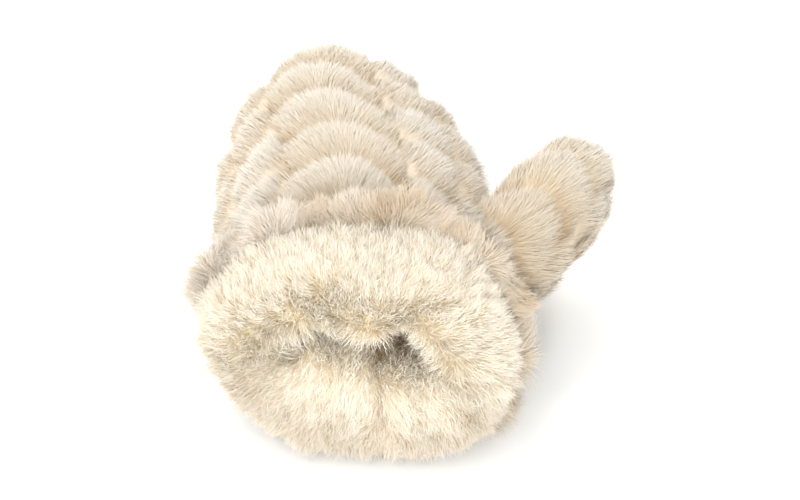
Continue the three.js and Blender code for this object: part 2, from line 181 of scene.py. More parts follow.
def column_at(column: tuple[float, ...], place: np.ndarray, closed: bool) -> np.ndarray:
    """Catmull-Rom value of a table's column.

    Args:
        column: The column's values.
        place: Where to read it, counted in rows.
        closed: Whether the table runs round and starts again.

    Returns:
        The values at the places.
    """
    values = np.asarray(column, dtype=float)
    count = len(values)
    at = place if closed else np.clip(place, 0, count - 1)
    i = np.floor(at).astype(int)
    t = at - i
    pick = (lambda k: values[k % count]) if closed else (lambda k: values[np.clip(k, 0, count - 1)])
    a, b, c, d = pick(i - 1), pick(i), pick(i + 1), pick(i + 2)
    return b + 0.5 * t * (c - a + t * (2 * a - 5 * b + 4 * c - d + t * (3 * (b - c) + d - a)))


def crowded(count: int, power: float) -> np.ndarray:
    """Shares from 0 to 1 that lie closer together towards 1, the more so the higher the power."""
    return 1 - (1 - np.linspace(0, 1, count)) ** power


def rounded_share(past: np.ndarray, power: float) -> np.ndarray:
    """Share of the full width left in a rounded end, with past going from 0 to 1."""
    return (1 - np.minimum(past, 0.99999) ** power) ** (1 / power)


def way_round(points: np.ndarray) -> np.ndarray:
    """Way round its ring at every point of a grid, not brought to length 1."""
    return np.roll(points, -1, axis=1) - np.roll(points, 1, axis=1)


def reach_round(points: np.ndarray) -> np.ndarray:
    """Distance of every point of a grid from its ring's first point, round the ring."""
    steps = np.linalg.norm(np.roll(points, -1, axis=1) - points, axis=-1)
    return np.concatenate([np.zeros((len(points), 1)), np.cumsum(steps, axis=1)[:, :-1]], axis=1)


def grid_normals(points: np.ndarray) -> np.ndarray:
    """Outward normals of a grid of points whose stations close on themselves.

    Args:
        points: Points by row and station, in mm.

    Returns:
        One unit normal for each point.
    """
    return unit(np.cross(np.gradient(points, axis=0), way_round(points)))


@dataclass
class HandForm:
    """Form of the hand and its turned-back cuff, from the tables."""

    stations: int = 112

    def turns(self) -> np.ndarray:
        """Turns round the hand, one for each station, from the thumb's side by way of the palm."""
        return np.arange(self.stations) / self.stations

    def hand(self, turn: np.ndarray, y: np.ndarray, depth: float) -> np.ndarray:
        """Points of the hand's section at a depth in the wall.

        Args:
            turn: Turns round the section.
            y: Places along the hand.
            depth: 0 at the cavity and WALL at the outside.

        Returns:
            Points by row and station.
        """
        turn, y = np.broadcast_arrays(turn, y)
        place = np.interp(y, HAND_ROWS["y"], np.arange(len(HAND_ROWS["y"])))
        value = {key: column_at(HAND_ROWS[key], place, False) for key in HAND_ROWS}
        inset = WALL - depth
        past = np.clip((y - (HAND_LENGTH - inset - TIP["rounding"])) / TIP["rounding"], 0, 1)
        share = rounded_share(past, TIP["power"])
        half_height = ((value["top"] - value["bottom"]) / 2 - inset) * share
        half_width = (value["half_width"] - inset) * share
        middle_height = (value["top"] + value["bottom"]) / 2
        centre = middle_height + (TIP["height"] - middle_height) * smooth(past) * TIP["drop"]
        angle = turn * 2 * np.pi
        x = value["middle"] + half_width * signed_power(np.cos(angle), 2 / SQUARENESS)
        z = centre + half_height * signed_power(np.sin(angle), 2 / SQUARENESS)
        return np.stack([x, y, z], axis=-1)

    def cuff(self, turn: np.ndarray) -> dict[str, np.ndarray]:
        """The cuff's own measures.

        Args:
            turn: Turns round the mouth.

        Returns:
            The columns of its table and the inner, middle and outer points of its fold, at the turns.
        """
        place = turn * len(CUFF_ROWS["fold"])
        value = {key: column_at(CUFF_ROWS[key], place, True) for key in CUFF_ROWS}
        zero = np.zeros_like(turn)
        value["inner"] = np.stack([value["in_x"], zero, value["in_z"]], axis=-1)
        value["outer"] = np.stack([value["out_x"], zero, value["out_z"]], axis=-1)
        value["core"] = (value["inner"] + value["outer"]) / 2
        return value

    def pouch(self, turn: np.ndarray, row: np.ndarray, depth: float) -> np.ndarray:
        """Points of the pouch, which is the hand's shape behind the mouth's.

        Args:
            turn: Turns round it.
            row: Places along it, counted back from the fold.
            depth: 0 at the cavity and WALL at the outside.

        Returns:
            Points by row and station.
        """
        cuff = self.cuff(turn)
        y = row + cuff["fold"] * (1 - smooth(row / LEVEL_AT))
        mouth = cuff["inner"] + (cuff["outer"] - cuff["inner"]) * depth / FOLD
        mouth = np.broadcast_to(mouth, y.shape + (3,)).copy()
        mouth[..., 1] = y
        share = smooth((row - MOUTH_BLEND[0]) / (MOUTH_BLEND[1] - MOUTH_BLEND[0]))[..., None]
        return mouth + (self.hand(turn, y, depth) - mouth) * share

    def roll(self, turn: np.ndarray, roll: np.ndarray, depth: float) -> np.ndarray:
        """Points of the rolled edge.

        Args:
            turn: Turns round the mouth.
            roll: From 0 at the opening's side to 1 at the outside.
            depth: 0 at the roll's own outside and WALL at its core.

        Returns:
            Points by row and station.
        """
        cuff = self.cuff(turn)
        share = (WALL - depth) / WALL
        side = cuff["inner"] - cuff["core"]
        forward = np.linalg.norm(cuff["outer"] - cuff["inner"], axis=-1) / 2
        pucker = 1 + PUCKERS["height"] / WALL * np.sin(PUCKERS["count"] * turn * 2 * np.pi)
        angle = roll * np.pi
        point = cuff["core"] + share * np.cos(angle)[..., None] * side
        point[..., 1] += cuff["fold"] - share * forward * pucker * np.sin(angle)
        return point

    def flap(self, turn: np.ndarray, along: np.ndarray, depth: np.ndarray | float) -> np.ndarray:
        """Points of the flap that is turned back over the wrist.

        Args:
            turn: Turns round the wrist.
            along: Distance from the fold.
            depth: 0 at its outside and WALL where it meets the pouch.

        Returns:
            Points by row and station.
        """
        cuff = self.cuff(turn)
        outward = (cuff["outer"] - cuff["core"]) / WALL
        under = self.pouch(turn, along, WALL) - cuff["core"]
        under[..., 1] = 0
        flare = np.maximum(0, (under * outward).sum(-1) / (outward**2).sum(-1))
        point = cuff["core"] + outward * (flare + WALL - depth)[..., None]
        point[..., 1] = along + cuff["fold"] * (1 - smooth(along / LEVEL_AT))
        return point


@dataclass
class Plait:
    """Plaited pads on fur cloth, arched over its middle and slanting down in columns beside it."""

    pad: float
    height: float

    def lay(self, across: np.ndarray, along: np.ndarray) -> Pads:
        """Pads at places on the cloth.

        Args:
            across: Distance from the cloth's middle line, in mm.
            along: Distance from the fold, in mm.

        Returns:
            The height in mm, its crest and corners from 0 to 1, the sideways flow of the pile, the place in
            the pad from its near edge to its rim, and each pad's tone from 0 to 1.
        """
        aside = (across + WANDER["aside"] * np.sin(along / WANDER["aside_every"])) / PLAIT["column"]
        column = np.floor(np.abs(aside))
        in_column = np.where(column == 0, np.abs(aside), 2 * (np.abs(aside) - column) - 1)
        bow = np.sqrt(aside**2 + PLAIT["apex"] ** 2)
        arch = PLAIT["slant"] * PLAIT["column"] * (bow - PLAIT["apex"])
        strayed = along + WANDER["along"] * np.sin(across / WANDER["along_every"])
        step = (strayed + arch - PLAIT["start"]) / self.pad + (column % 2) / 2
        place = step - np.floor(step)
        power, share = PAD_ROUND["power"], PAD_ROUND["column_share"]
        drop = (1 - share) * np.abs(2 * place ** PAD_ROUND["skew"] - 1) ** power
        drop = drop + share * np.abs(in_column) ** power
        # The usual hash of two whole numbers, which gives each pad a tone of its own
        mixed = np.sin(column * np.sign(aside) * 12.9898 + np.floor(step) * 78.233) * 43758.5453
        return {
            "height": (self.height + PAD_ROUND["groove"]) * (1 - drop) - PAD_ROUND["groove"],
            "crest": 1 - drop,
            "corner": np.abs(2 * place - 1) ** 2 * np.abs(in_column) ** 2,
            "flow": PLAIT["slant"] * aside / bow,
            "place": place,
            "tone": mixed - np.floor(mixed),
        }


@dataclass(frozen=True)
class PadTone:
    """How the tone of plaited fur follows its pads, in shares of the whole range of tones: paler crests and
    rims and darker valleys are partly the fur's pale tips, partly painted highlight and painted shade.
    """

    level: float
    crest: float
    rim: float
    own: float

    def over(self, pads: Pads, rim: np.ndarray, strength: np.ndarray) -> np.ndarray:
        """What the pads add to the level.

        Args:
            pads: The pads, as a plait lays them.
            rim: How near each point is to its pad's rim, from 0 to 1.
            strength: How far the pads are raised there, from 0 to 1.

        Returns:
            The tone to add.
        """
        crest = self.crest * (pads["crest"] - CREST_MIDDLE)
        return strength * (crest + self.rim * (rim - 0.5) + self.own * (pads["tone"] - 0.5))


@dataclass
class Coat:
    """What grows on a surface: how strands lie at each point, their length and tone, and on which quads."""

    points: np.ndarray
    comb: np.ndarray
    length: np.ndarray
    tone: np.ndarray
    keep: np.ndarray


@dataclass(frozen=True)
class Pile:
    """A pile of so many strands: sizes in mm, and strengths as shares of a strand's length.

    A real fibre is about 0.03 mm wide. Strands are drawn eight to eleven times as coarse, so that they show.
    """

    strands: int
    width: float
    stray: float  # how far each strand leans its own way
    swirl: float  # how far neighbours lean the same way
    swirl_size: float
    droop: float  # how far tips sink to the cloth
    curl: float  # how far tips bend aside
    clump: float  # how far tips gather to their clump's middle
    clump_size: float
    crimp: float  # how far a strand bows half-way up
    spread: float  # how far tones differ from strand to strand
    seed: int


PLUSH_PILE = Pile(
    strands=63000, width=0.26, stray=0.2, swirl=0.2, swirl_size=12, droop=0.22, curl=0.14,
    clump=0.2, clump_size=3.0, crimp=0.06, spread=0.06, seed=11,
)
HEM_PILE = Pile(
    strands=46000, width=0.27, stray=0.24, swirl=0.9, swirl_size=13, droop=0.3, curl=0.3,
    clump=0.5, clump_size=7.5, crimp=0.08, spread=0.07, seed=31,
)
FLEECE_PILE = Pile(
    strands=62000, width=0.27, stray=0.26, swirl=0.6, swirl_size=7, droop=0.05, curl=0.45,
    clump=0.55, clump_size=4.0, crimp=0.22, spread=0.04, seed=41,
)


@dataclass(frozen=True)
class PileFinish:
    """Colours of a pile at root and tip, for strands in painted shade, darker and lighter strands, as sRGB
    hex.
    """

    name: str
    shade: str
    root_dark: str
    tip_dark: str
    root_light: str
    tip_light: str
    roughness: float
    sheen: float
    sheen_roughness: float = 0.4


@dataclass(frozen=True)
class BackingFinish:
    """Colours of a knitted backing, as sRGB hex, and its mottling and relief in mm."""

    name: str
    colour: str
    deep: str
    grain: float
    relief: float = 0.8
    roughness: float = 0.9


# Acrylic faux fur, knitted and sheared long: silky strands whose tips pale, so that the valleys show tan. Its
# darkest colour is painted shade where pads meet
PLUSH_FUR = PileFinish(
    "plush_acrylic_fur", "#a98861", "#cbb592", "#d5c8b3", "#d2c5b2", "#dfd9cf", roughness=0.75, sheen=0.1
)
# The same fur on the cuff, longer and brushed up, which gives it a ragged and paler edge. Its darkest colour
# is partly painted shade in the hem's valleys
CUFF_PLUSH = PileFinish(
    "long_acrylic_fur", "#ae8c63", "#cab089", "#d7c5aa", "#d4c5b1", "#e2dacf", roughness=0.75, sheen=0.1
)
# Polyester sherpa fleece, crimped and matt: cream wisps with warmer roots, which look soft and bright. The
# roots' warmth is partly painted shade deep in the pile, and its darkest colour is painted shade in the
# mouth's hollow
SHERPA = PileFinish(
    "sherpa_polyester_fleece", "#98724a", "#decda9", "#ece5d8", "#f4e4c6", "#fcf6e9", roughness=0.9, sheen=0.0
)
# Polyester backing of the fur, knitted: a matt tan ground, partly its own colour and partly painted shade
# between the strands. Its loops are about 0.4 mm and too fine to show, so the mottling is drawn three times
# as coarse
TAN_KNIT = BackingFinish("knitted_backing_tan", "#ddd0be", "#cfbfa8", grain=1.2)
# Polyester backing of the fleece, knitted and brushed: a matt cream ground, its loops drawn as coarse too
CREAM_KNIT = BackingFinish("knitted_backing_cream", "#f0e6cd", "#dccba4", grain=1.6)


def linear(colour: str) -> tuple[float, float, float, float]:
    """Linear colour of an sRGB hex value."""
    parts = [int(colour[k : k + 2], 16) / 255 for k in (1, 3, 5)]
    return (*[c / 12.92 if c <= 0.04045 else ((c + 0.055) / 1.055) ** 2.4 for c in parts], 1.0)


def add_node(
    tree: bpy.types.NodeTree, kind: str, inputs: dict | None = None, **settings: object
) -> bpy.types.Node:
    """Adds a node with its settings, values and links.

    Args:
        tree: The tree that it goes into.
        kind: Blender's name of the node type.
        inputs: Values, or sockets or nodes to link, by the input's name or number.
        **settings: Properties of the node.

    Returns:
        The node.
    """
    node = tree.nodes.new(kind)
    for key, value in settings.items():
        setattr(node, key, value)
    for key, value in (inputs or {}).items():
        if isinstance(value, bpy.types.Node):
            value = value.outputs[0]
        if isinstance(value, bpy.types.NodeSocket):
            tree.links.new(value, node.inputs[key])
        else:
            node.inputs[key].default_value = value
    return node


def pile_material(finish: PileFinish) -> bpy.types.Material:
    """Material of a pile: its map runs across from dark to light strands and up from root to tip.

    Args:
        finish: The pile's colours and gloss.

    Returns:
        The material.
    """
    material = bpy.data.materials.new(finish.name)
    material.use_nodes = True
    tree = material.node_tree
    shader = tree.nodes["Principled BSDF"]
    own_map = add_node(tree, "ShaderNodeUVMap", uv_map=MAP)
    place = add_node(tree, "ShaderNodeSeparateXYZ", {0: own_map})
    ramps = []
    for dark, light in ((finish.root_dark, finish.root_light), (finish.tip_dark, finish.tip_light)):
        ramp = add_node(tree, "ShaderNodeValToRGB", {0: place.outputs[0]})
        stops = ramp.color_ramp.elements
        # The lowest tones take the shade colour, which is painted shade
        stops[0].color = linear(finish.shade)
        stops[1].color = linear(light)
        stops.new(DARK_STOP).color = linear(dark)
        ramps.append(ramp)
    height = add_node(tree, "ShaderNodeMapRange", {0: place.outputs[1], 2: PALE_FROM})
    tint = add_node(tree, "ShaderNodeMix", {0: height, 6: ramps[0], 7: ramps[1]}, data_type="RGBA")
    tree.links.new(tint.outputs[2], shader.inputs["Base Color"])
    shader.inputs["Roughness"].default_value = finish.roughness
    shader.inputs["Sheen Weight"].default_value = finish.sheen
    shader.inputs["Sheen Roughness"].default_value = finish.sheen_roughness
    return material


def backing_material(finish: BackingFinish) -> bpy.types.Material:
    """Knitted backing under a pile: matt cloth with fine mottling and bump.

    Args:
        finish: Its colours and grain.

    Returns:
        The material.
    """
    material = bpy.data.materials.new(finish.name)
    material.use_nodes = True
    tree = material.node_tree
    shader = tree.nodes["Principled BSDF"]
    place = add_node(tree, "ShaderNodeTexCoord").outputs["Object"]
    noise = add_node(tree, NOISE, {0: place, "Scale": 1 / (finish.grain * MM), "Detail": 3.0})
    colours = {0: noise, 6: linear(finish.deep), 7: linear(finish.colour)}
    mixed = add_node(tree, "ShaderNodeMix", colours, data_type="RGBA")
    loops = {"Height": noise, "Strength": 0.6, "Distance": finish.relief * MM}
    bump = add_node(tree, "ShaderNodeBump", loops)
    tree.links.new(mixed.outputs[2], shader.inputs["Base Color"])
    tree.links.new(bump.outputs[0], shader.inputs["Normal"])
    shader.inputs["Roughness"].default_value = finish.roughness
    return material


def new_object(name: str, points: np.ndarray, faces: list[list[int]]) -> bpy.types.Object:
    """Object at the origin with a mesh of points given in mm in the tables' frame.

    Args:
        name: The object's name.
        points: The points.
        faces: Their faces.

    Returns:
        The object, with doubled points merged and flat slivers gone.
    """
    mesh = bpy.data.meshes.new(name)
    mesh.from_pydata(((points.reshape(-1, 3) + TABLE_SHIFT) * MM).tolist(), [], faces)
    work = bmesh.new()
    work.from_mesh(mesh)
    bmesh.ops.remove_doubles(work, verts=work.verts, dist=MERGED)
    bmesh.ops.dissolve_degenerate(work, edges=work.edges, dist=MERGED / 2)
    work.to_mesh(mesh)
    work.free()
    mesh.polygons.foreach_set("use_smooth", [True] * len(mesh.polygons))
    made = bpy.data.objects.new(name, mesh)
    bpy.context.scene.collection.objects.link(made)
    return made


def grid_faces(rows: int, stations: int, looped: bool = False) -> np.ndarray:
    """Quads of a grid whose stations close on themselves, facing out.

    Args:
        rows: How many rings of points the grid has.
        stations: How many points each ring has.
        looped: Whether the last ring joins the first.

    Returns:
        Four point numbers for each quad, row by row.
    """
    j, i = np.meshgrid(np.arange(rows if looped else rows - 1), np.arange(stations), indexing="ij")
    here, up, on = j * stations, (j + 1) % rows * stations, (i + 1) % stations
    return np.stack([here + i, up + i, up + on, here + on], -1).reshape(-1, 4)


def sheet_solid(name: str, outer: np.ndarray, inner: np.ndarray, keep: np.ndarray) -> bpy.types.Object:
    """Closed cloth between two grids, over the quads that are kept.

    Args:
        name: The object's name.
        outer: Points of the outside, by row and station.
        inner: Points of the inside, by the same rows and stations.
        keep: Which quads of the grid the cloth covers.

    Returns:
        The object.
    """
    quads = grid_faces(*outer.shape[:2])[keep.reshape(-1)]
    offset = outer.shape[0] * outer.shape[1]
    edges = np.concatenate([quads[:, [k, (k + 1) % 4]] for k in range(4)])
    known = {(int(a), int(b)) for a, b in edges}
    rim = np.array([(a, b) for a, b in known if (b, a) not in known])
    walls = np.stack([rim[:, 1], rim[:, 0], rim[:, 0] + offset, rim[:, 1] + offset], -1)
    faces = np.concatenate([quads, quads[:, ::-1] + offset, walls])
    points = np.concatenate([outer.reshape(-1, 3), inner.reshape(-1, 3)])
    return new_object(name, points, faces.tolist())


def closing(ring: np.ndarray) -> np.ndarray:
    """A ring's middle, repeated for each of its points, which closes a solid there."""
    return np.repeat(ring.mean(axis=1, keepdims=True), ring.shape[1], axis=1)


def ring_solid(name: str, rings: np.ndarray, looped: bool = False) -> bpy.types.Object:
    """Closed solid from rings of points whose ends come to a point, or which loop round."""
    return new_object(name, rings, grid_faces(rings.shape[0], rings.shape[1], looped).tolist())


def work_in(base: bpy.types.Object, tool: bpy.types.Object, how: Joining) -> None:
    """Works one closed cloth into another, and removes the one that was worked in.

    Args:
        base: The cloth that is kept.
        tool: The cloth that is cut out of it or sewn on.
        how: Which of the two is done.
    """
    cut = base.modifiers.new("cut", "BOOLEAN")
    cut.object = tool
    cut.operation = how.value
    cut.solver = "MANIFOLD"
    graph = bpy.context.evaluated_depsgraph_get()
    settled = bpy.data.meshes.new_from_object(base.evaluated_get(graph))
    base.modifiers.remove(cut)
    base.data = settled
    bpy.data.objects.remove(tool)


class StrandTree:
    """Geometry Nodes that grow a pile of curved strands on a surface that carries comb, length and tone."""

    def __init__(self) -> None:
        """Builds the tree and the single strand that it repeats."""
        self.strand = self._strand()
        self.tree = bpy.data.node_groups.new("pile_of_strands", "GeometryNodeTree")
        self._sockets()
        self._nodes()

    def _strand(self) -> bpy.types.Object:
        """One strand of unit length and width: three triangles that narrow to the tip.

        Returns:
            The strand, with its height as the attribute "up".
        """
        points = [(0.0, s * w, h) for h, w in ((0.0, 0.5), (WAIST, 0.4)) for s in (-1, 1)]
        points.append((0.0, 0.0, 1.0))
        faces = [(0, 1, 3), (0, 3, 2), (2, 3, 4)]
        mesh = bpy.data.meshes.new("strand")
        mesh.from_pydata(points, [], faces)
        up = mesh.attributes.new("up", "FLOAT", "POINT")
        up.data.foreach_set("value", [p[2] for p in points])
        made = bpy.data.objects.new("strand", mesh)
        bpy.context.scene.collection.objects.link(made)
        return made

    def _sockets(self) -> None:
        """Named inputs for the sizes, in metres, and the output."""
        face = self.tree.interface
        face.new_socket("Geometry", in_out="OUTPUT", socket_type="NodeSocketGeometry")
        kinds = {"Surface": "Geometry", "Strand": "Object", "Material": "Material", "Seed": "Int"}
        sizes = ("Density", "Width", "Stray", "Swirl", "Swirl Size", "Droop")
        sizes += ("Curl", "Clump", "Clump Size", "Crimp", "Spread")
        for name in (*kinds, *sizes):
            face.new_socket(name, in_out="INPUT", socket_type="NodeSocket" + kinds.get(name, "Float"))

    def _nodes(self) -> None:
        """The nodes, from scattered roots to bent strands with their map."""
        tree = self.tree
        start = add_node(tree, "NodeGroupInput").outputs
        sown = {"Mesh": start["Surface"], "Density": start["Density"], "Seed": start["Seed"]}
        scatter = add_node(tree, SCATTER, sown).outputs
        root = add_node(tree, "GeometryNodeInputPosition")
        # Smooth directions that neighbouring roots share
        drift = {}
        for name, size, shift in (("swirl", start["Swirl Size"], 0.0), ("curl", start["Clump Size"], 7.0)):
            place = add_node(tree, VECTOR, {0: root, 1: (shift, shift, shift)}, operation="ADD")
            scale = add_node(tree, MATH, {0: 1.0, 1: size}, operation="DIVIDE")
            noise = add_node(tree, NOISE, {"Vector": place, "Scale": scale, "Detail": 1.0}).outputs[1]
            centred = add_node(tree, VECTOR, {0: noise, 1: (0.5, 0.5, 0.5)}, operation="SUBTRACT")
            strength = add_node(tree, MATH, {0: start[name.capitalize()], 1: 3.0}, operation="MULTIPLY")
            drift[name] = add_node(tree, VECTOR, {0: centred, "Scale": strength}, operation="SCALE")
        # Every root's own length, lean, twist, crimp and tint
        own = {}
        for seed, name in enumerate(("stray", "twist", "crimp"), 1):
            limits = {0: (-1.0, -1.0, -1.0), 1: (1.0, 1.0, 1.0), "Seed": seed}
            own[name] = add_node(tree, CHANCE, limits, data_type="FLOAT_VECTOR").outputs[0]
        limits = {2: LENGTHS[0], 3: LENGTHS[1], "Seed": 4}
        share = add_node(tree, CHANCE, limits, data_type="FLOAT").outputs[1]
        length = add_node(tree, NAMED, {0: "length"}, data_type="FLOAT")
        length = add_node(tree, MATH, {0: length, 1: share}, operation="MULTIPLY")
        aim = add_node(tree, NAMED, {0: "comb"}, data_type="FLOAT_VECTOR")
        aim = add_node(tree, VECTOR, {0: aim, 1: drift["swirl"]}, operation="ADD")
        stray = add_node(tree, VECTOR, {0: own["stray"], "Scale": start["Stray"]}, operation="SCALE")
        aim = add_node(tree, VECTOR, {0: aim, 1: stray}, operation="ADD")
        twist = add_node(tree, VECTOR, {0: own["twist"], "Scale": TWIST}, operation="SCALE")
        facing = add_node(tree, VECTOR, {0: scatter["Normal"], 1: twist}, operation="ADD")
        turned = add_node(tree, AXES, {0: aim, 1: facing}, primary_axis="Z", secondary_axis="X")
        # Tips lean to the middle of their clump, droop and curl
        cell_scale = add_node(tree, MATH, {0: 1.0, 1: start["Clump Size"]}, operation="DIVIDE")
        cells = {"Vector": root, "Scale": cell_scale}
        cell = add_node(tree, "ShaderNodeTexVoronoi", cells).outputs["Position"]
        to_cell = add_node(tree, VECTOR, {0: cell, 1: root}, operation="SUBTRACT")
        to_cell = add_node(tree, VECTOR, {0: to_cell, "Scale": start["Clump"]}, operation="SCALE")
        droop = add_node(tree, VECTOR, {0: scatter["Normal"], "Scale": start["Droop"]}, operation="SCALE")
        bend = add_node(tree, VECTOR, {0: drift["curl"], 1: droop}, operation="SUBTRACT")
        bend = add_node(tree, VECTOR, {0: bend, "Scale": length}, operation="SCALE")
        sway = add_node(tree, VECTOR, {0: bend, 1: to_cell}, operation="ADD")
        crimp = add_node(tree, VECTOR, {0: own["crimp"], "Scale": start["Crimp"]}, operation="SCALE")
        crimp = add_node(tree, VECTOR, {0: crimp, "Scale": length}, operation="SCALE")
        tint = add_node(tree, CHANCE, {2: -1.0, 3: 1.0, "Seed": 5}, data_type="FLOAT").outputs[1]
        tint = add_node(tree, MATH, {0: tint, 1: start["Spread"]}, operation="MULTIPLY")
        tone = add_node(tree, NAMED, {0: "tone"}, data_type="FLOAT")
        tint = add_node(tree, MATH, {0: tint, 1: tone}, operation="ADD")
        tint = add_node(tree, "ShaderNodeClamp", {0: tint, 1: MAP_EDGE, 2: 1 - MAP_EDGE})
        kept = scatter["Points"]
        stored = (("sway", "FLOAT_VECTOR", sway), ("crimp", "FLOAT_VECTOR", crimp), ("tint", "FLOAT", tint))
        for name, kind, value in stored:
            kept = add_node(tree, STORE, {"Geometry": kept, "Name": name, "Value": value}, data_type=kind)
        one = add_node(tree, "GeometryNodeObjectInfo", {"Object": start["Strand"]}).outputs["Geometry"]
        size = add_node(tree, "ShaderNodeCombineXYZ", {0: start["Width"], 1: start["Width"], 2: length})
        instances = {"Points": kept, "Instance": one, "Rotation": turned, "Scale": size}
        placed = add_node(tree, "GeometryNodeInstanceOnPoints", instances)
        real = add_node(tree, "GeometryNodeRealizeInstances", {0: placed})
        # Bends grow towards the tip, and crimp is greatest half-way up
        up = add_node(tree, NAMED, {0: "up"}, data_type="FLOAT")
        bent = real
        for name, curve in (("sway", (0.0, 0.36, 1.0)), ("crimp", (0.0, 1.0, 0.0))):
            weight = add_node(tree, "ShaderNodeFloatCurve", {"Value": up})
            points = weight.mapping.curves[0].points
            points[0].location, points[1].location = (0.0, curve[0]), (1.0, curve[2])
            points.new(WAIST, curve[1])
            weight.mapping.update()
            way = add_node(tree, NAMED, {0: name}, data_type="FLOAT_VECTOR")
            way = add_node(tree, VECTOR, {0: way, "Scale": weight}, operation="SCALE")
            bent = add_node(tree, "GeometryNodeSetPosition", {"Geometry": bent, "Offset": way})
        across = add_node(tree, NAMED, {0: "tint"}, data_type="FLOAT")
        along = add_node(tree, "ShaderNodeMapRange", {0: up, 3: MAP_EDGE, 4: 1 - MAP_EDGE})
        place = add_node(tree, "ShaderNodeCombineXYZ", {0: across, 1: along})
        mapping = {"Geometry": bent, "Name": MAP, "Value": place}
        mapped = add_node(tree, STORE, mapping, data_type="FLOAT2", domain="CORNER")
        finish = {"Geometry": mapped, "Material": start["Material"]}
        dressed = add_node(tree, "GeometryNodeSetMaterial", finish)
        add_node(tree, "NodeGroupOutput", {0: dressed})


class Furrier:
    """Grows coats, and rides every finished piece on the body."""

    def __init__(self, share: float) -> None:
        """Makes the strands' tree and the finishes.
        """
        self.share = share
        self.strands = StrandTree()
        self.materials = {finish.name: pile_material(finish) for finish in (PLUSH_FUR, CUFF_PLUSH, SHERPA)}
        self.cloth = backing_material(TAN_KNIT)
        self.fleece = backing_material(CREAM_KNIT)

    def _bed(self, name: str, coat: Coat) -> bpy.types.Object:
        """Surface that strands are rooted on, which carries how they lie.

        Args:
            name: Its name.
            coat: Where the strands stand and how they lie.

        Returns:
            The surface.
        """
        quads = grid_faces(*coat.points.shape[:2])[coat.keep.reshape(-1)]
        used, index = np.unique(quads, return_inverse=True)
        mesh = bpy.data.meshes.new(name)
        places = ((coat.points.reshape(-1, 3)[used] + TABLE_SHIFT) * MM).tolist()
        mesh.from_pydata(places, [], index.reshape(-1, 4).tolist())
        comb = mesh.attributes.new("comb", "FLOAT_VECTOR", "POINT")
        comb.data.foreach_set("vector", unit(coat.comb).reshape(-1, 3)[used].ravel())
        for key, values in (("length", coat.length * MM), ("tone", coat.tone)):
            layer = mesh.attributes.new(key, "FLOAT", "POINT")
            layer.data.foreach_set("value", values.reshape(-1)[used])
        bed = bpy.data.objects.new(name, mesh)
        bpy.context.scene.collection.objects.link(bed)
        return bed

    def grow(self, name: str, coat: Coat, pile: Pile, finish: PileFinish) -> bpy.types.Object:
        """Grows one coat and turns it to a plain mesh.

        Args:
            name: The piece's name.
            coat: Where the strands stand and how they lie.
            pile: Their sizes.
            finish: Their colours.

        Returns:
            The finished object.
        """
        bed = self._bed(name + "_bed", coat)
        area = sum(face.area for face in bed.data.polygons)
        values = {
            "Strand": self.strands.strand,
            "Material": self.materials[finish.name],
            "Seed": pile.seed,
            "Density": pile.strands * self.share / area,
            "Width": pile.width * MM / math.sqrt(self.share),
            "Stray": pile.stray,
            "Swirl": pile.swirl,
            "Swirl Size": pile.swirl_size * MM,
            "Droop": pile.droop,
            "Curl": pile.curl,
            "Clump": pile.clump,
            "Clump Size": pile.clump_size * MM,
            "Crimp": pile.crimp,
            "Spread": pile.spread,
        }
        modifier = bed.modifiers.new("pile", "NODES")
        modifier.node_group = self.strands.tree
        for item in self.strands.tree.interface.items_tree:
            if item.in_out == "INPUT" and item.name in values:
                modifier[item.identifier] = values[item.name]
        graph = bpy.context.evaluated_depsgraph_get()
        grown = bpy.data.meshes.new_from_object(bed.evaluated_get(graph))
        bed.modifiers.remove(modifier)
        bpy.data.objects.remove(bed)
        for key in ("sway", "crimp", "tint", "up", "comb", "length", "tone"):
            if key in grown.attributes:
                grown.attributes.remove(grown.attributes[key])
        places = np.empty(len(grown.vertices) * 3, dtype=np.float32)
        grown.vertices.foreach_get("co", places)
        places = places.reshape(-1, 3)
        places[:, 2] = np.maximum(places[:, 2], OFF_FLOOR)
        grown.vertices.foreach_set("co", places.ravel())
        grown.name = name
        made = bpy.data.objects.new(name, grown)
        bpy.context.scene.collection.objects.link(made)
        return made

    def hand_in(self, piece: bpy.types.Object, slot: str, *nodes: str) -> None:
        """Rides a piece on the body, hides the solids that it stands for and reports it.

        Args:
            piece: The finished piece.
            slot: Not used.
            *nodes: The solids that it stands for.
        """
        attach(piece, BODY)
        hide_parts(*nodes)
        piece.data.calc_loop_triangles()
        LOG.info("%s: %d triangles", piece.name, len(piece.data.loop_triangles))


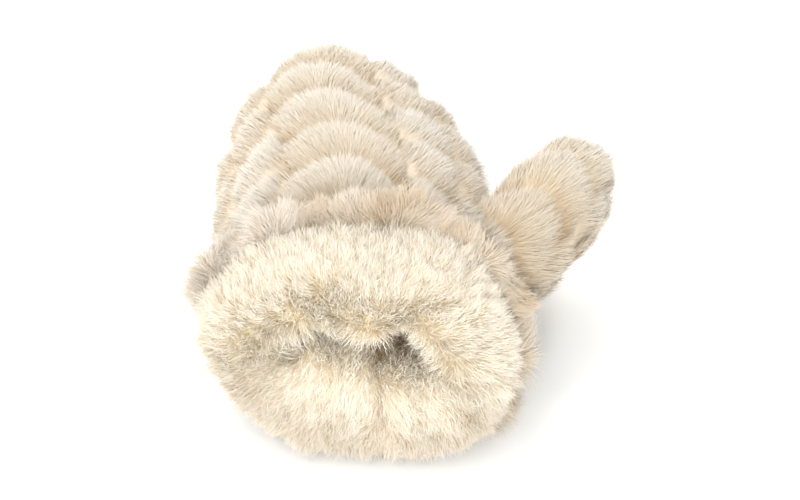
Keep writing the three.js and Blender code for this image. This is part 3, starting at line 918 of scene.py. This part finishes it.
@dataclass
class PlushHand:
    """Palm and back of plaited plush fur."""

    form: HandForm
    thumb: "PlushThumb"
    rows: int = 104
    crowding: float = 1.35
    backing_depth: float = 8.0  # in the wall, where the pile is rooted
    cloth_thickness: float = 1.9
    lowest: tuple[float, float] = (1.2, 0.4)  # how near the floor the cloth's outside and inside come
    starts: float = 22.0
    thumb_hole: float = 0.8  # share of the thumb's thickness that the cloth leaves open for it
    palm_pile: Pile = PLUSH_PILE
    back_pile: Pile = replace(PLUSH_PILE, strands=34000, width=0.34, seed=12)
    length: float = 11.5
    valley_trim: float = 0.25  # how much shorter the pile is between pads
    tip_trim: float = 0.35  # how much shorter it is at the fingertips
    tip_trim_at: tuple[float, float] = (185.0, 15.0)  # where that starts, and over how far
    lift: float = 0.42  # how far strands stand up
    rim_lift: tuple[float, float] = (0.3, 0.08)  # how much more they do at a pad's rim, and less at its root
    flow: float = 0.8  # how far they lean with the plait
    tone: PadTone = PadTone(level=0.66, crest=0.5, rim=0.2, own=0.4)
    corner_shade: tuple[float, float] = (1.1, 0.25)  # painted shade where pads meet, and its share on the palest

    def surface(self) -> tuple[np.ndarray, np.ndarray, np.ndarray, Pads, np.ndarray, np.ndarray]:
        """Grid of the hand's cloth with its pads.

        Returns:
            Points of the outside, points of the inside, normals, the pads, their strength and the rows.
        """
        turn = self.form.turns()[None, :]
        # Rows lie closer towards the fingertips, where the form curves most
        row = self.starts + (HAND_LENGTH - SHORT_OF - self.starts) * crowded(self.rows, self.crowding)
        row = row[:, None]
        outside = self.form.pouch(turn, row + 0 * turn, WALL)
        reach = reach_round(outside)
        quarter = self.form.stations // 4
        across = np.empty_like(reach)
        half = np.empty_like(reach)
        halves = ((0, 2 * quarter, quarter, -1), (2 * quarter, 4 * quarter, 3 * quarter, 1))
        for low, high, middle, sign in halves:
            across[:, low:high] = sign * (reach[:, low:high] - reach[:, [middle]])
            half[:, low:high] = reach[:, [middle]] - reach[:, [middle - quarter]]
        pads = Plait(PLAIT["pad"], PAD_ROUND["height"]).lay(across - PLAIT["middle"], row + 0 * turn)
        strength = smooth((row - PLAIT_STARTS[0]) / (PLAIT_STARTS[1] - PLAIT_STARTS[0]))
        strength = strength * smooth((half - np.abs(across)) / SEAM_GROOVE)
        strength = strength * smooth((HAND_LENGTH - row) / TIP_FADE)
        end = HAND_LENGTH - WALL + self.backing_depth - SHORT_OF
        base = self.form.pouch(turn, np.minimum(row, end) + 0 * turn, self.backing_depth)
        normals = grid_normals(outside)
        outer = base + normals * (pads["height"] * strength)[..., None]
        inner = base - normals * self.cloth_thickness
        for grid, lowest in zip((outer, inner), self.lowest):
            grid[..., 2] = np.maximum(grid[..., 2], lowest)
            grid[-1] = grid[-1].mean(axis=0)
        return outer, inner, normals, pads, strength, row

    def build(self, furrier: Furrier) -> None:
        """Builds both halves, each with its cloth and its pile.

        Args:
            furrier: Who grows the pile and hands the pieces in.
        """
        outer, inner, normals, pads, strength, row = self.surface()
        beside = np.roll(outer, -1, 1)
        centres = (outer[:-1] + outer[1:] + beside[:-1] + beside[1:]) / 4
        palm = centres[..., 2] > SEAM["height"] + SEAM["slope"] * centres[..., 1]
        clear = ~self.thumb.holds(centres, self.thumb_hole)
        along = unit(np.gradient(outer, axis=0))
        sideways = unit(np.cross(normals, along))
        sideways *= np.where(sideways[..., :1] < 0, -1, 1)
        rim = smooth((pads["place"] - RIM_AT[0]) / RIM_AT[1])
        lift = self.lift + strength * (self.rim_lift[0] * rim - self.rim_lift[1])
        comb = along + sideways * (self.flow * pads["flow"])[..., None] + normals * lift[..., None]
        length = self.length * (1 - strength * self.valley_trim * (1 - pads["crest"]))
        length = length * (1 - self.tip_trim * smooth((row - self.tip_trim_at[0]) / self.tip_trim_at[1]))
        # Crests and rims are paler and valleys darker: partly the fur's pale tips, partly painted highlight
        # and painted shade
        tone = self.tone.level + self.tone.over(pads, rim, strength)
        # Painted shade in the corners where pads meet
        shade, least = self.corner_shade
        tone = tone - shade * strength * pads["corner"] * (least + pads["tone"])
        for side, wanted, node in ((Side.PALM, palm, "shell_palm"), (Side.BACK, ~palm, "shell_back")):
            keep = wanted & clear
            cloth = sheet_solid(side.value + "_cloth", outer, inner, keep)
            cloth.data.materials.append(furrier.cloth)
            furrier.hand_in(cloth, "fur_cloth", node)
            coat = Coat(outer, comb, length, tone, keep)
            pile = self.palm_pile if side is Side.PALM else self.back_pile
            fur = furrier.grow(side.value + "_fur", coat, pile, PLUSH_FUR)
            furrier.hand_in(fur, "fur_cloth", node)


@dataclass
class PlushThumb:
    """Thumb of plaited plush fur, set into the hand's side."""

    stations: int = 56
    rows: int = 52
    crowding: float = 1.3
    axis_points: int = 400
    backing_depth: float = 8.4
    length: float = 11.5
    valley_trim: float = 0.35
    pile: Pile = replace(PLUSH_PILE, strands=38000, swirl=0.18, swirl_size=11, droop=0.2, seed=21)
    pads_at: tuple[float, float] = (14.0, 10.0)  # how far from root and tip the pads have full strength
    lift: float = 0.36
    rim_lift: float = 0.25
    flow: float = -0.5
    tone: PadTone = PadTone(level=0.4, crest=0.4, rim=0.25, own=0.3)
    tip_pale: float = 0.5  # how much paler its last two fifths become
    sunk: float = 12.0  # how far inside the hand's outline its pile stops

    def axis(self) -> tuple[np.ndarray, np.ndarray, np.ndarray]:
        """Centre line of the thumb.

        Returns:
            Fine points on it, their distance along it and their place in the table.
        """
        place = np.linspace(0, len(THUMB_ROWS["x"]) - 1, self.axis_points)
        line = np.stack([column_at(THUMB_ROWS[key], place, False) for key in "xyz"], -1)
        steps = np.linalg.norm(np.diff(line, axis=0), axis=1)
        return line, np.concatenate([[0], np.cumsum(steps)]), place

    def rings(self, depth: float, rows: int) -> tuple[np.ndarray, np.ndarray]:
        """Rings of the thumb at a depth in its wall.

        Args:
            depth: 0 at the cavity and WALL at the outside.
            rows: How many rings.

        Returns:
            The rings, the last of them a point, and each one's distance along the thumb.
        """
        line, reach, place = self.axis()
        inset = WALL - depth
        full = reach[-1] + THUMB["past"] - inset
        along = full * crowded(rows, self.crowding)
        held = np.minimum(along, reach[-1])
        centre = np.stack([np.interp(held, reach, line[:, k]) for k in range(3)], -1)
        tangent = unit(np.gradient(line, axis=0))
        forward = unit(np.stack([np.interp(held, reach, tangent[:, k]) for k in range(3)], -1))
        centre = centre + forward * np.maximum(0, along - reach[-1])[:, None]
        at = np.interp(held, reach, place)
        up = unit(np.array([0.0, 0.0, 1.0]) - forward * forward[:, 2:3])
        wide = np.cross(forward, up)
        share = rounded_share(np.clip(1 - (full - along) / THUMB["rounding"], 0, 1), THUMB["tip_power"])
        half_width = (column_at(THUMB_ROWS["half_width"], at, False) - inset) * share
        half_depth = (column_at(THUMB_ROWS["half_depth"], at, False) - inset) * share
        angle = np.arange(self.stations) / self.stations * 2 * np.pi
        power = 2 / THUMB["squareness"]
        across = half_width[:, None] * signed_power(np.cos(angle), power)
        upward = half_depth[:, None] * signed_power(np.sin(angle), power)
        rings = centre[:, None] + wide[:, None] * across[..., None] + up[:, None] * upward[..., None]
        rings[-1] = rings[-1].mean(axis=0)
        return rings, along

    def holds(self, points: np.ndarray, share: float) -> np.ndarray:
        """Whether points lie inside the thumb.

        Args:
            points: The points.
            share: Share of the thumb's thickness that counts.

        Returns:
            True for each point inside.
        """
        line, _, place = self.axis()
        # Every eighth point of the line is near enough here
        line, place = line[::8], place[::8]
        flat = points.reshape(-1, 3)
        apart = flat[:, None] - line[None]
        near = np.argmin((apart**2).sum(-1), axis=1)
        halves = [column_at(THUMB_ROWS[key], place, False) for key in ("half_width", "half_depth")]
        size = (halves[0] + halves[1]) / 2
        distance = np.sqrt((apart[np.arange(len(flat)), near] ** 2).sum(-1))
        return (distance < share * size[near]).reshape(points.shape[:-1])

    def build(self, furrier: Furrier) -> None:
        """Builds the thumb's cloth and its pile, which stops inside the hand.

        Args:
            furrier: Who grows the pile and hands the pieces in.
        """
        outside, along = self.rings(WALL, self.rows)
        base, _ = self.rings(self.backing_depth, self.rows)
        normals = grid_normals(outside)
        normals[-1] = unit(normals[-2].mean(axis=0))
        reach = reach_round(outside)
        across = reach - reach[:, [self.stations // 4]]
        pads = Plait(THUMB["pad"], THUMB["relief"]).lay(across, along[:, None] + 0 * across)
        from_root, from_tip = self.pads_at
        strength = smooth((along - from_root) / from_root) * smooth((along[-1] - along) / from_tip)
        strength = strength[:, None]
        outer = base + normals * (pads["height"] * strength)[..., None]
        outer[-1] = outer[-1].mean(axis=0)
        inner, _ = self.rings(CLOTH_FROM, self.rows)
        cloth = ring_solid("thumb_cloth", np.concatenate([outer, inner[::-1]]), True)
        cloth.data.materials.append(furrier.cloth)
        furrier.hand_in(cloth, "fur_cloth", "shell_thumb")
        forward = unit(np.gradient(outer.mean(axis=1), axis=0))[:, None]
        sideways = unit(np.cross(forward, normals))
        ahead = unit(forward - normals * (forward * normals).sum(-1, keepdims=True) * 0.9 + 1e-6)
        rim = smooth((pads["place"] - RIM_AT[0]) / RIM_AT[1])
        comb = ahead + sideways * (self.flow * pads["flow"] * strength)[..., None]
        comb = comb + normals * (self.lift + self.rim_lift * strength * rim)[..., None]
        place = np.interp(outer[..., 1], HAND_ROWS["y"], np.arange(len(HAND_ROWS["y"])))
        half_width = column_at(HAND_ROWS["half_width"], place, False)
        middle = column_at(HAND_ROWS["middle"], place, False)
        inside = np.abs(outer[..., 0] - middle) < half_width - self.sunk
        keep = ~(inside[:-1] & inside[1:])
        tip = smooth((along / along[-1])[:, None] * 2.5 - 1.5)
        # The pads' crests and rims are paler and valleys darker: partly the fur's pale tips, partly painted
        # highlight and painted shade
        tone = self.tone.level + self.tip_pale * tip + self.tone.over(pads, rim, strength)
        length = self.length * (1 - strength * self.valley_trim * (1 - pads["crest"]))
        fur = furrier.grow("thumb_fur", Coat(outer, comb, length, tone, keep), self.pile, PLUSH_FUR)
        furrier.hand_in(fur, "fur_cloth", "shell_thumb")


@dataclass
class FurCuff:
    """Cuff of long fur between the layers, whose hem stands out past the fleece."""

    form: HandForm
    pile: Pile = HEM_PILE
    length: float = 13.0
    tuck: float = 5.6  # how far the folded cloth reaches back from the fold
    lowest: tuple[float, float] = (0.6, 0.8)  # how near the floor the cloth and the pile's roots come
    roll_shares: tuple[float, ...] = (0.0, 0.17, 0.34, 0.5, 0.66, 0.83)
    bed_rows: int = 25
    # Where the hem droops at the lower right: the turns at which it starts and ends, each with its softness
    droops: tuple[float, float, float, float] = (0.78, 0.08, 1.02, 0.06)
    tufts: tuple[tuple[float, float, float], ...] = ((9, 1, 0.5), (14, 2.3, 0.3), (23, 0, 0.2))
    wave: float = 0.7  # how far tufts lean to each other
    level: float = 0.6  # tone of the hem, before its valleys, tufts and far side change it
    far_pale: float = 0.65  # how much paler it is on the side away from the thumb, where the light falls: painted light

    def build(self, furrier: Furrier) -> None:
        """Builds the folded cloth and the hem's pile.

        Args:
            furrier: Who grows the pile and hands the pieces in.
        """
        turn = self.form.turns()[None, :]
        cuff = self.form.cuff(turn)
        zero = 0 * turn
        flap, hem = cuff["flap"], cuff["hem"]
        rings = [self.form.pouch(turn, zero + self.tuck, CLOTH_FROM)]
        rings += [self.form.roll(turn, zero + share, CLOTH_FROM) for share in self.roll_shares]
        rings += [self.form.flap(turn, flap * share, CLOTH_FROM) for share in (0, 0.5, 1)]
        hem_rings = [
            self.form.flap(turn, flap + past + hem * share, depth - cuff["proud"] * proud)
            for past, share, depth, proud in zip(*HEM_ROWS.values())
        ]
        rings += hem_rings + [self.form.flap(turn, zero + self.tuck, CLOTH_TO)]
        body = np.concatenate(rings)
        body[..., 2] = np.maximum(body[..., 2], self.lowest[0])
        cloth = ring_solid("cuff_cloth", body, True)
        cloth.data.materials.append(furrier.cloth)
        furrier.hand_in(cloth, "cuff_fur", "cuff_fur")
        fine = np.linspace(0, len(hem_rings) - 1, self.bed_rows)
        low = np.minimum(fine.astype(int), len(hem_rings) - 2)
        part = (fine - low)[:, None, None]
        stack = np.concatenate(hem_rings)
        points = stack[low] * (1 - part) + stack[low + 1] * part
        points[..., 2] = np.maximum(points[..., 2], self.lowest[1])
        furrier.hand_in(self.hem_fur(furrier, points), "cuff_fur", "cuff_fur")

    def hem_fur(self, furrier: Furrier, points: np.ndarray) -> bpy.types.Object:
        """Grows the hem's pile, which stands out at its near edge and is brushed back behind it.

        Args:
            furrier: Who grows it.
            points: The grid that it stands on, from the flap's edge over the hem to the pouch.

        Returns:
            The finished pile.
        """
        turn = self.form.turns()[None, :]
        angle = turn * 2 * np.pi
        cuff = self.form.cuff(turn)
        share = np.linspace(0, 1, len(points))[:, None]
        start, start_over, end, end_over = self.droops
        drooping = smooth((turn - start) / start_over) * smooth((end - turn) / end_over)
        outward = unit(cuff["outer"] - cuff["core"]) * (0.75 - 0.45 * share)[..., None]
        ahead = -0.3 + 1.6 * smooth(share * 1.5) - 0.7 * drooping
        waves = np.sin(angle * 8 + 0.7 + share * 2.5) + 0.5 * np.sin(angle * 13 + 2.0)
        comb = outward + np.array([0.0, 1.0, 0.0]) * ahead[..., None]
        comb = comb + unit(way_round(points)) * (self.wave * waves)[..., None]
        tufts = ripples(angle, *self.tufts)
        length = self.length * (0.85 + 0.25 * tufts + 0.35 * drooping) + 0 * share
        # Darker in the valleys between tufts and towards the pouch, paler on the tufts: partly the tan roots
        # that show, partly painted shade
        valleys = np.sin(angle * 11 + share * 5) * smooth(share * 3)
        tone = self.level + 0.25 * valleys + 0.15 * tufts - 0.15 * (share - 0.4)
        # Painted light: paler on the side away from the thumb, where the light falls
        tone = tone + self.far_pale * smooth(-np.cos(angle) * 1.5 - 0.3)
        keep = np.ones((len(points) - 1, self.form.stations), bool)
        return furrier.grow("cuff_hem_fur", Coat(points, comb, length, tone, keep), self.pile, CUFF_PLUSH)


@dataclass
class FleeceLining:
    """Fleece bag for hand and thumb, carried out over the fold and back over the wrist."""

    form: HandForm
    thumb: PlushThumb
    # Rings of the bag, and of the bed that the pile stands on: in the cavity, on the roll and along the flap
    bag_rows: tuple[int, int, int] = (30, 13, 8)
    bed_rows: tuple[int, int, int] = (24, 24, 16)
    finger_rows: int = 24
    bag_crowding: float = 1.4
    pile_from: float = 72.0  # how deep in the cavity the pile starts
    root_depth: float = 2.6
    length: float = 7.5
    puff: float = 11.5  # how far the lower lip's pile lifts its cloth towards the upper lip
    puff_far: float = 0.45  # share by which that is more away from the thumb and less beside it
    puff_at: tuple[float, float, float] = (46.0, 20.0, 0.6)  # how deep it starts, over how far, and its end
    lowest: tuple[float, float] = (1.0, 0.5)  # how near the floor the visible and the hidden side come
    notches: tuple[float, ...] = (0.1875, 0.3125)  # turns where the upper lip is drawn up
    crease: tuple[float, float] = (0.785, 0.013)  # turn and width of the soft crease down the lower lip
    slot: tuple[float, float] = (0.83, 0.038)  # and of the painted shade where the hollow shows dark between the lips
    mouth_pile: Pile = FLEECE_PILE
    cuff_pile: Pile = replace(FLEECE_PILE, strands=56000, seed=42)
    ring_tones: tuple[float, float] = (0.25, 0.5)  # outside the mouth, at the bottom and at the top; the darker bottom is painted shade
    mouth_tone: float = 1.05  # painted light: pale pile inside the mouth makes up for the little light that reaches it
    shades: tuple[float, float, float] = (0.9, 0.25, 0.95)  # painted shade at the slot, deep inside and down the crease
    darkest: float = 0.1

    def rings(self, depth: float, cavity: np.ndarray, rolls: np.ndarray, flaps: np.ndarray) -> np.ndarray:
        """Rings from the cavity out over the roll and back along the flap.

        Args:
            depth: Depth in the wall, 0 at the cavity.
            cavity: Places of the rings in the cavity, counted back from the fold.
            rolls: Places of those on the roll, from 0 to 1.
            flaps: Places of those on the flap, from 0 to 1.

        Returns:
            Points by row and station.
        """
        turn = self.form.turns()[None, :]
        held = np.minimum(cavity, HAND_LENGTH - (WALL - depth) - SHORT_OF)[:, None]
        parts = [self.form.pouch(turn, held + 0 * turn, depth)]
        parts.append(self.form.roll(turn, rolls[:, None] + 0 * turn, depth))
        parts.append(self.form.flap(turn, flaps[:, None] * self.form.cuff(turn)["flap"], depth))
        grid = np.concatenate(parts)
        seen = depth < FLEECE / 2
        if seen:
            cuff = self.form.cuff(turn)
            starts, over, ends = self.puff_at
            shares = np.concatenate([(starts - cavity) / over, (ends - rolls) / ends, 0 * flaps])
            lower = smooth(0.75 - np.sin(turn * 2 * np.pi) * 1.2)
            lift = self.puff * smooth(shares[:, None]) * lower
            lift = lift * (1 - self.puff_far * np.cos(turn * 2 * np.pi))
            grid = grid + unit(cuff["inner"] - cuff["outer"]) * lift[..., None]
        grid[..., 2] = np.maximum(grid[..., 2], self.lowest[0 if seen else 1])
        return grid

    def build(self, furrier: Furrier) -> None:
        """Builds the bag with its thumb, and the pile where it shows.

        Args:
            furrier: Who grows the pile and hands the pieces in.
        """
        in_cavity, on_roll, on_flap = self.bag_rows
        deep = HAND_LENGTH * (1 - np.linspace(0, 1, in_cavity) ** self.bag_crowding)
        rolls = np.linspace(0, 1, on_roll + 2)[1:-1]
        flaps = np.linspace(0, 1, on_flap)
        visible = self.rings(self.root_depth, deep, rolls, flaps)
        hidden = self.rings(LINING_TO, deep, rolls, flaps)[::-1]
        visible[0], hidden[-1] = visible[0].mean(axis=0), hidden[-1].mean(axis=0)
        bag = ring_solid("fleece_cloth", np.concatenate([visible, hidden]))
        root, _ = self.thumb.rings(LINING_TO, self.finger_rows)
        hollow, _ = self.thumb.rings(self.root_depth, self.finger_rows)
        middle = self.rings((self.root_depth + FLEECE) / 2, deep, rolls[:0], flaps[:0])
        middle[0] = middle[0].mean(axis=0)
        finger = ring_solid("finger", np.concatenate([closing(root[:1]), root]))
        core = ring_solid("middle", np.concatenate([middle, closing(middle[-1:])]))
        work_in(finger, core, Joining.CUT)
        work_in(bag, finger, Joining.SEWN)
        room = ring_solid("hollow", np.concatenate([closing(hollow[:1]), hollow]))
        work_in(bag, room, Joining.CUT)
        bag.data.materials.clear()
        bag.data.materials.append(furrier.fleece)
        furrier.hand_in(bag, "fleece", "lining_palm", "lining_back", "lining_thumb", "cuff_fleece")
        in_cavity, on_roll, on_flap = self.bed_rows
        cavity = np.linspace(self.pile_from, 0, in_cavity)
        rolls = np.linspace(0, 1, on_roll + 2)[1:-1]
        flaps = np.linspace(0, 1, on_flap)
        points = self.rings(self.root_depth, cavity, rolls, flaps)
        self.coat(furrier, points, in_cavity, on_roll)

    def coat(self, furrier: Furrier, points: np.ndarray, cavity: int, rolls: int) -> None:
        """Grows the fleece's pile: it fans out from the mouth, and the lips' locks nearly close it.

        Args:
            furrier: Who grows it.
            points: The grid that it stands on, from the cavity out to the flap's edge.
            cavity: How many of its rows lie in the cavity.
            rolls: How many lie on the rolled edge.
        """
        rows = points.shape[0]
        ahead = unit(np.gradient(points, axis=0))
        turn = self.form.turns()[None, :]
        level, upright = np.cos(turn * 2 * np.pi), np.sin(turn * 2 * np.pi)
        place = np.arange(rows)[:, None] + 0 * turn
        # Where each point lies: on the roll, inside the mouth, on its lips, deep inside, or on the upper lip
        roll = np.clip((place - cavity) / rolls, 0, 1)
        inside = smooth((cavity + rolls * 0.42 - place) / (rolls * 0.4))
        lip = smooth((cavity + rolls * 0.8 - place) / (rolls * 0.5))
        deep = smooth((cavity * 0.5 - place) / (cavity * 0.4))
        upper = smooth(0.5 + upright * 1.2)
        # Strands stand up from the lower lip, hang from the upper one and lie back at the flap's edge
        outward = 0.6 + 0.15 * roll + inside * (0.45 * (1 - upper) - 0.95 * upper)
        upward = 0.8 - 0.3 * inside * (1 - upper)
        comb = grid_normals(points) * upward[..., None] + ahead * outward[..., None]
        comb = comb + ahead * smooth((place - (rows - 6)) / 5)[..., None] * 0.6
        # They part at the notches and the crease
        aside = -0.55 * np.maximum(level, 0) ** 2 * smooth(roll * 2)
        for notch in self.notches:
            off = turn - notch
            aside = aside - 0.8 * off / 0.02 * hump(off, 0.03) * lip
        off = turn - self.crease[0]
        crease = hump(off, self.crease[1]) * lip
        away = off / 0.02 * hump(off, 0.03) * lip
        comb = comb + unit(way_round(points)) * (aside + 0.6 * away)[..., None]
        # They are longest on the lips, which nearly close the mouth, and at the flap's edge
        cushion = smooth((place - (cavity - 10)) / 4)
        cushion = cushion * smooth((cavity + rolls * 0.4 - place) / (rolls * 0.35))
        lips = inside * upper * (0.5 - 0.4 * level) * (1 - deep) + (1 - upper) * 0.35 * cushion
        edge = smooth((place - (rows - 5)) / 4)
        length = self.length * (1 + lips + 0.35 * edge) * (1 - 0.4 * crease)
        # Painted shade: darker at the slot between the lips, deep inside the mouth and down the crease
        at_slot, at_depth, at_crease = self.shades
        shade = smooth((cavity - 2 - place) / 3) * hump(turn - self.slot[0], self.slot[1])
        shade = at_slot * shade + at_depth * smooth((cavity - 5 - place) / 5)
        # Painted shade on the bottom of the ring, and painted light inside the mouth, where little light
        # reaches
        bottom, top = self.ring_tones
        outside = bottom + (top - bottom) * upper
        tone = outside + (self.mouth_tone - outside) * inside
        tone = np.maximum(tone - at_crease * crease * inside - shade, self.darkest)
        half = cavity + rolls // 2 + 1
        for name, low, high, pile in (
            ("fleece_mouth_pile", 0, half, self.mouth_pile),
            ("fleece_cuff_pile", half, rows - 1, self.cuff_pile),
        ):
            keep = np.zeros((rows - 1, self.form.stations), bool)
            keep[low:high] = True
            fleece = furrier.grow(name, Coat(points, comb, length, tone, keep), pile, SHERPA)
            furrier.hand_in(fleece, "fleece", "cuff_fleece")


@dataclass(frozen=True)
class Lamp:
    """Square soft light that faces the mitten: its place and side in metres and its power in watts."""

    name: str
    spot: tuple[float, float, float]
    side: float
    power: float


@dataclass(frozen=True)
class PaperFinish:
    """Background paper of one colour, given as sRGB hex."""

    name: str
    colour: str
    roughness: float


# Uncoated white background paper, pressed matt: it has no gloss, so the floor fades evenly into the sky
WHITE_PAPER = PaperFinish("matt_white_paper", "#f4f4f2", 0.95)


@dataclass
class Studio:
    """Plain pale floor, soft light and the camera at the photograph's viewing angle."""

    elevation: float = 42.0
    distance: float = 1.0
    target: tuple[float, float, float] = (-0.0216, 0.0081, 0.035)
    aim: tuple[float, float, float] = (-0.0028, -0.0067, 0.0186)
    lens: float = 108.0
    sky: float = 0.74
    floor_half: float = 3.0
    lit: tuple[float, float, float] = (0.0, 0.0, 0.03)  # where the lights point
    lamps: tuple[Lamp, ...] = (
        Lamp("key", (-0.7, -0.4, 1.3), 1.1, 6.5),
        Lamp("front", (-0.2, -1.65, 1.35), 0.9, 8.0),
        Lamp("low front", (-0.15, -1.7, 1.0), 0.7, 20.0),
        Lamp("back", (-0.4, 1.1, 1.2), 1.0, 20.0),
    )

    def build(self) -> None:
        """Makes the floor, the lights, the sky and the camera."""
        scene = bpy.context.scene
        scene.view_settings.view_transform = "Standard"
        tilt = math.radians(self.elevation)
        place = Vector(self.target) + Vector((0, -math.cos(tilt), math.sin(tilt))) * self.distance
        camera = bpy.data.objects.new("camera", bpy.data.cameras.new("camera"))
        camera.data.lens = self.lens
        camera.location = place
        camera.rotation_euler = (Vector(self.aim) - place).to_track_quat("-Z", "Y").to_euler()
        scene.collection.objects.link(camera)
        scene.camera = camera
        world = bpy.data.worlds.new("studio")
        world.use_nodes = True
        background = world.node_tree.nodes["Background"]
        background.inputs["Color"].default_value = (1, 1, 1, 1)
        background.inputs["Strength"].default_value = self.sky
        scene.world = world
        for lamp in self.lamps:
            light = bpy.data.lights.new(lamp.name, "AREA")
            light.size = lamp.side
            light.energy = lamp.power
            made = bpy.data.objects.new(lamp.name, light)
            made.location = lamp.spot
            way = Vector(self.lit) - Vector(lamp.spot)
            made.rotation_euler = way.to_track_quat("-Z", "Y").to_euler()
            scene.collection.objects.link(made)
        half = self.floor_half
        mesh = bpy.data.meshes.new("floor")
        corners = [(-half, -half, 0), (half, -half, 0), (half, half, 0), (-half, half, 0)]
        mesh.from_pydata(corners, [], [(0, 1, 2, 3)])
        paper = bpy.data.materials.new(WHITE_PAPER.name)
        paper.use_nodes = True
        shader = paper.node_tree.nodes["Principled BSDF"]
        shader.inputs["Base Color"].default_value = linear(WHITE_PAPER.colour)
        shader.inputs["Roughness"].default_value = WHITE_PAPER.roughness
        mesh.materials.append(paper)
        floor = bpy.data.objects.new("floor", mesh)
        scene.collection.objects.link(floor)


def main() -> None:
    """Builds the mitten piece by piece, then the studio."""
    logging.basicConfig(level=logging.INFO, format="%(message)s")
    Studio().build()
    form = HandForm()
    thumb = PlushThumb()
    furrier = Furrier(1.0)
    PlushHand(form, thumb).build(furrier)
    thumb.build(furrier)
    FurCuff(form).build(furrier)
    FleeceLining(form, thumb).build(furrier)
    bpy.data.objects.remove(furrier.strands.strand)


if __name__ == "__main__":
    main()
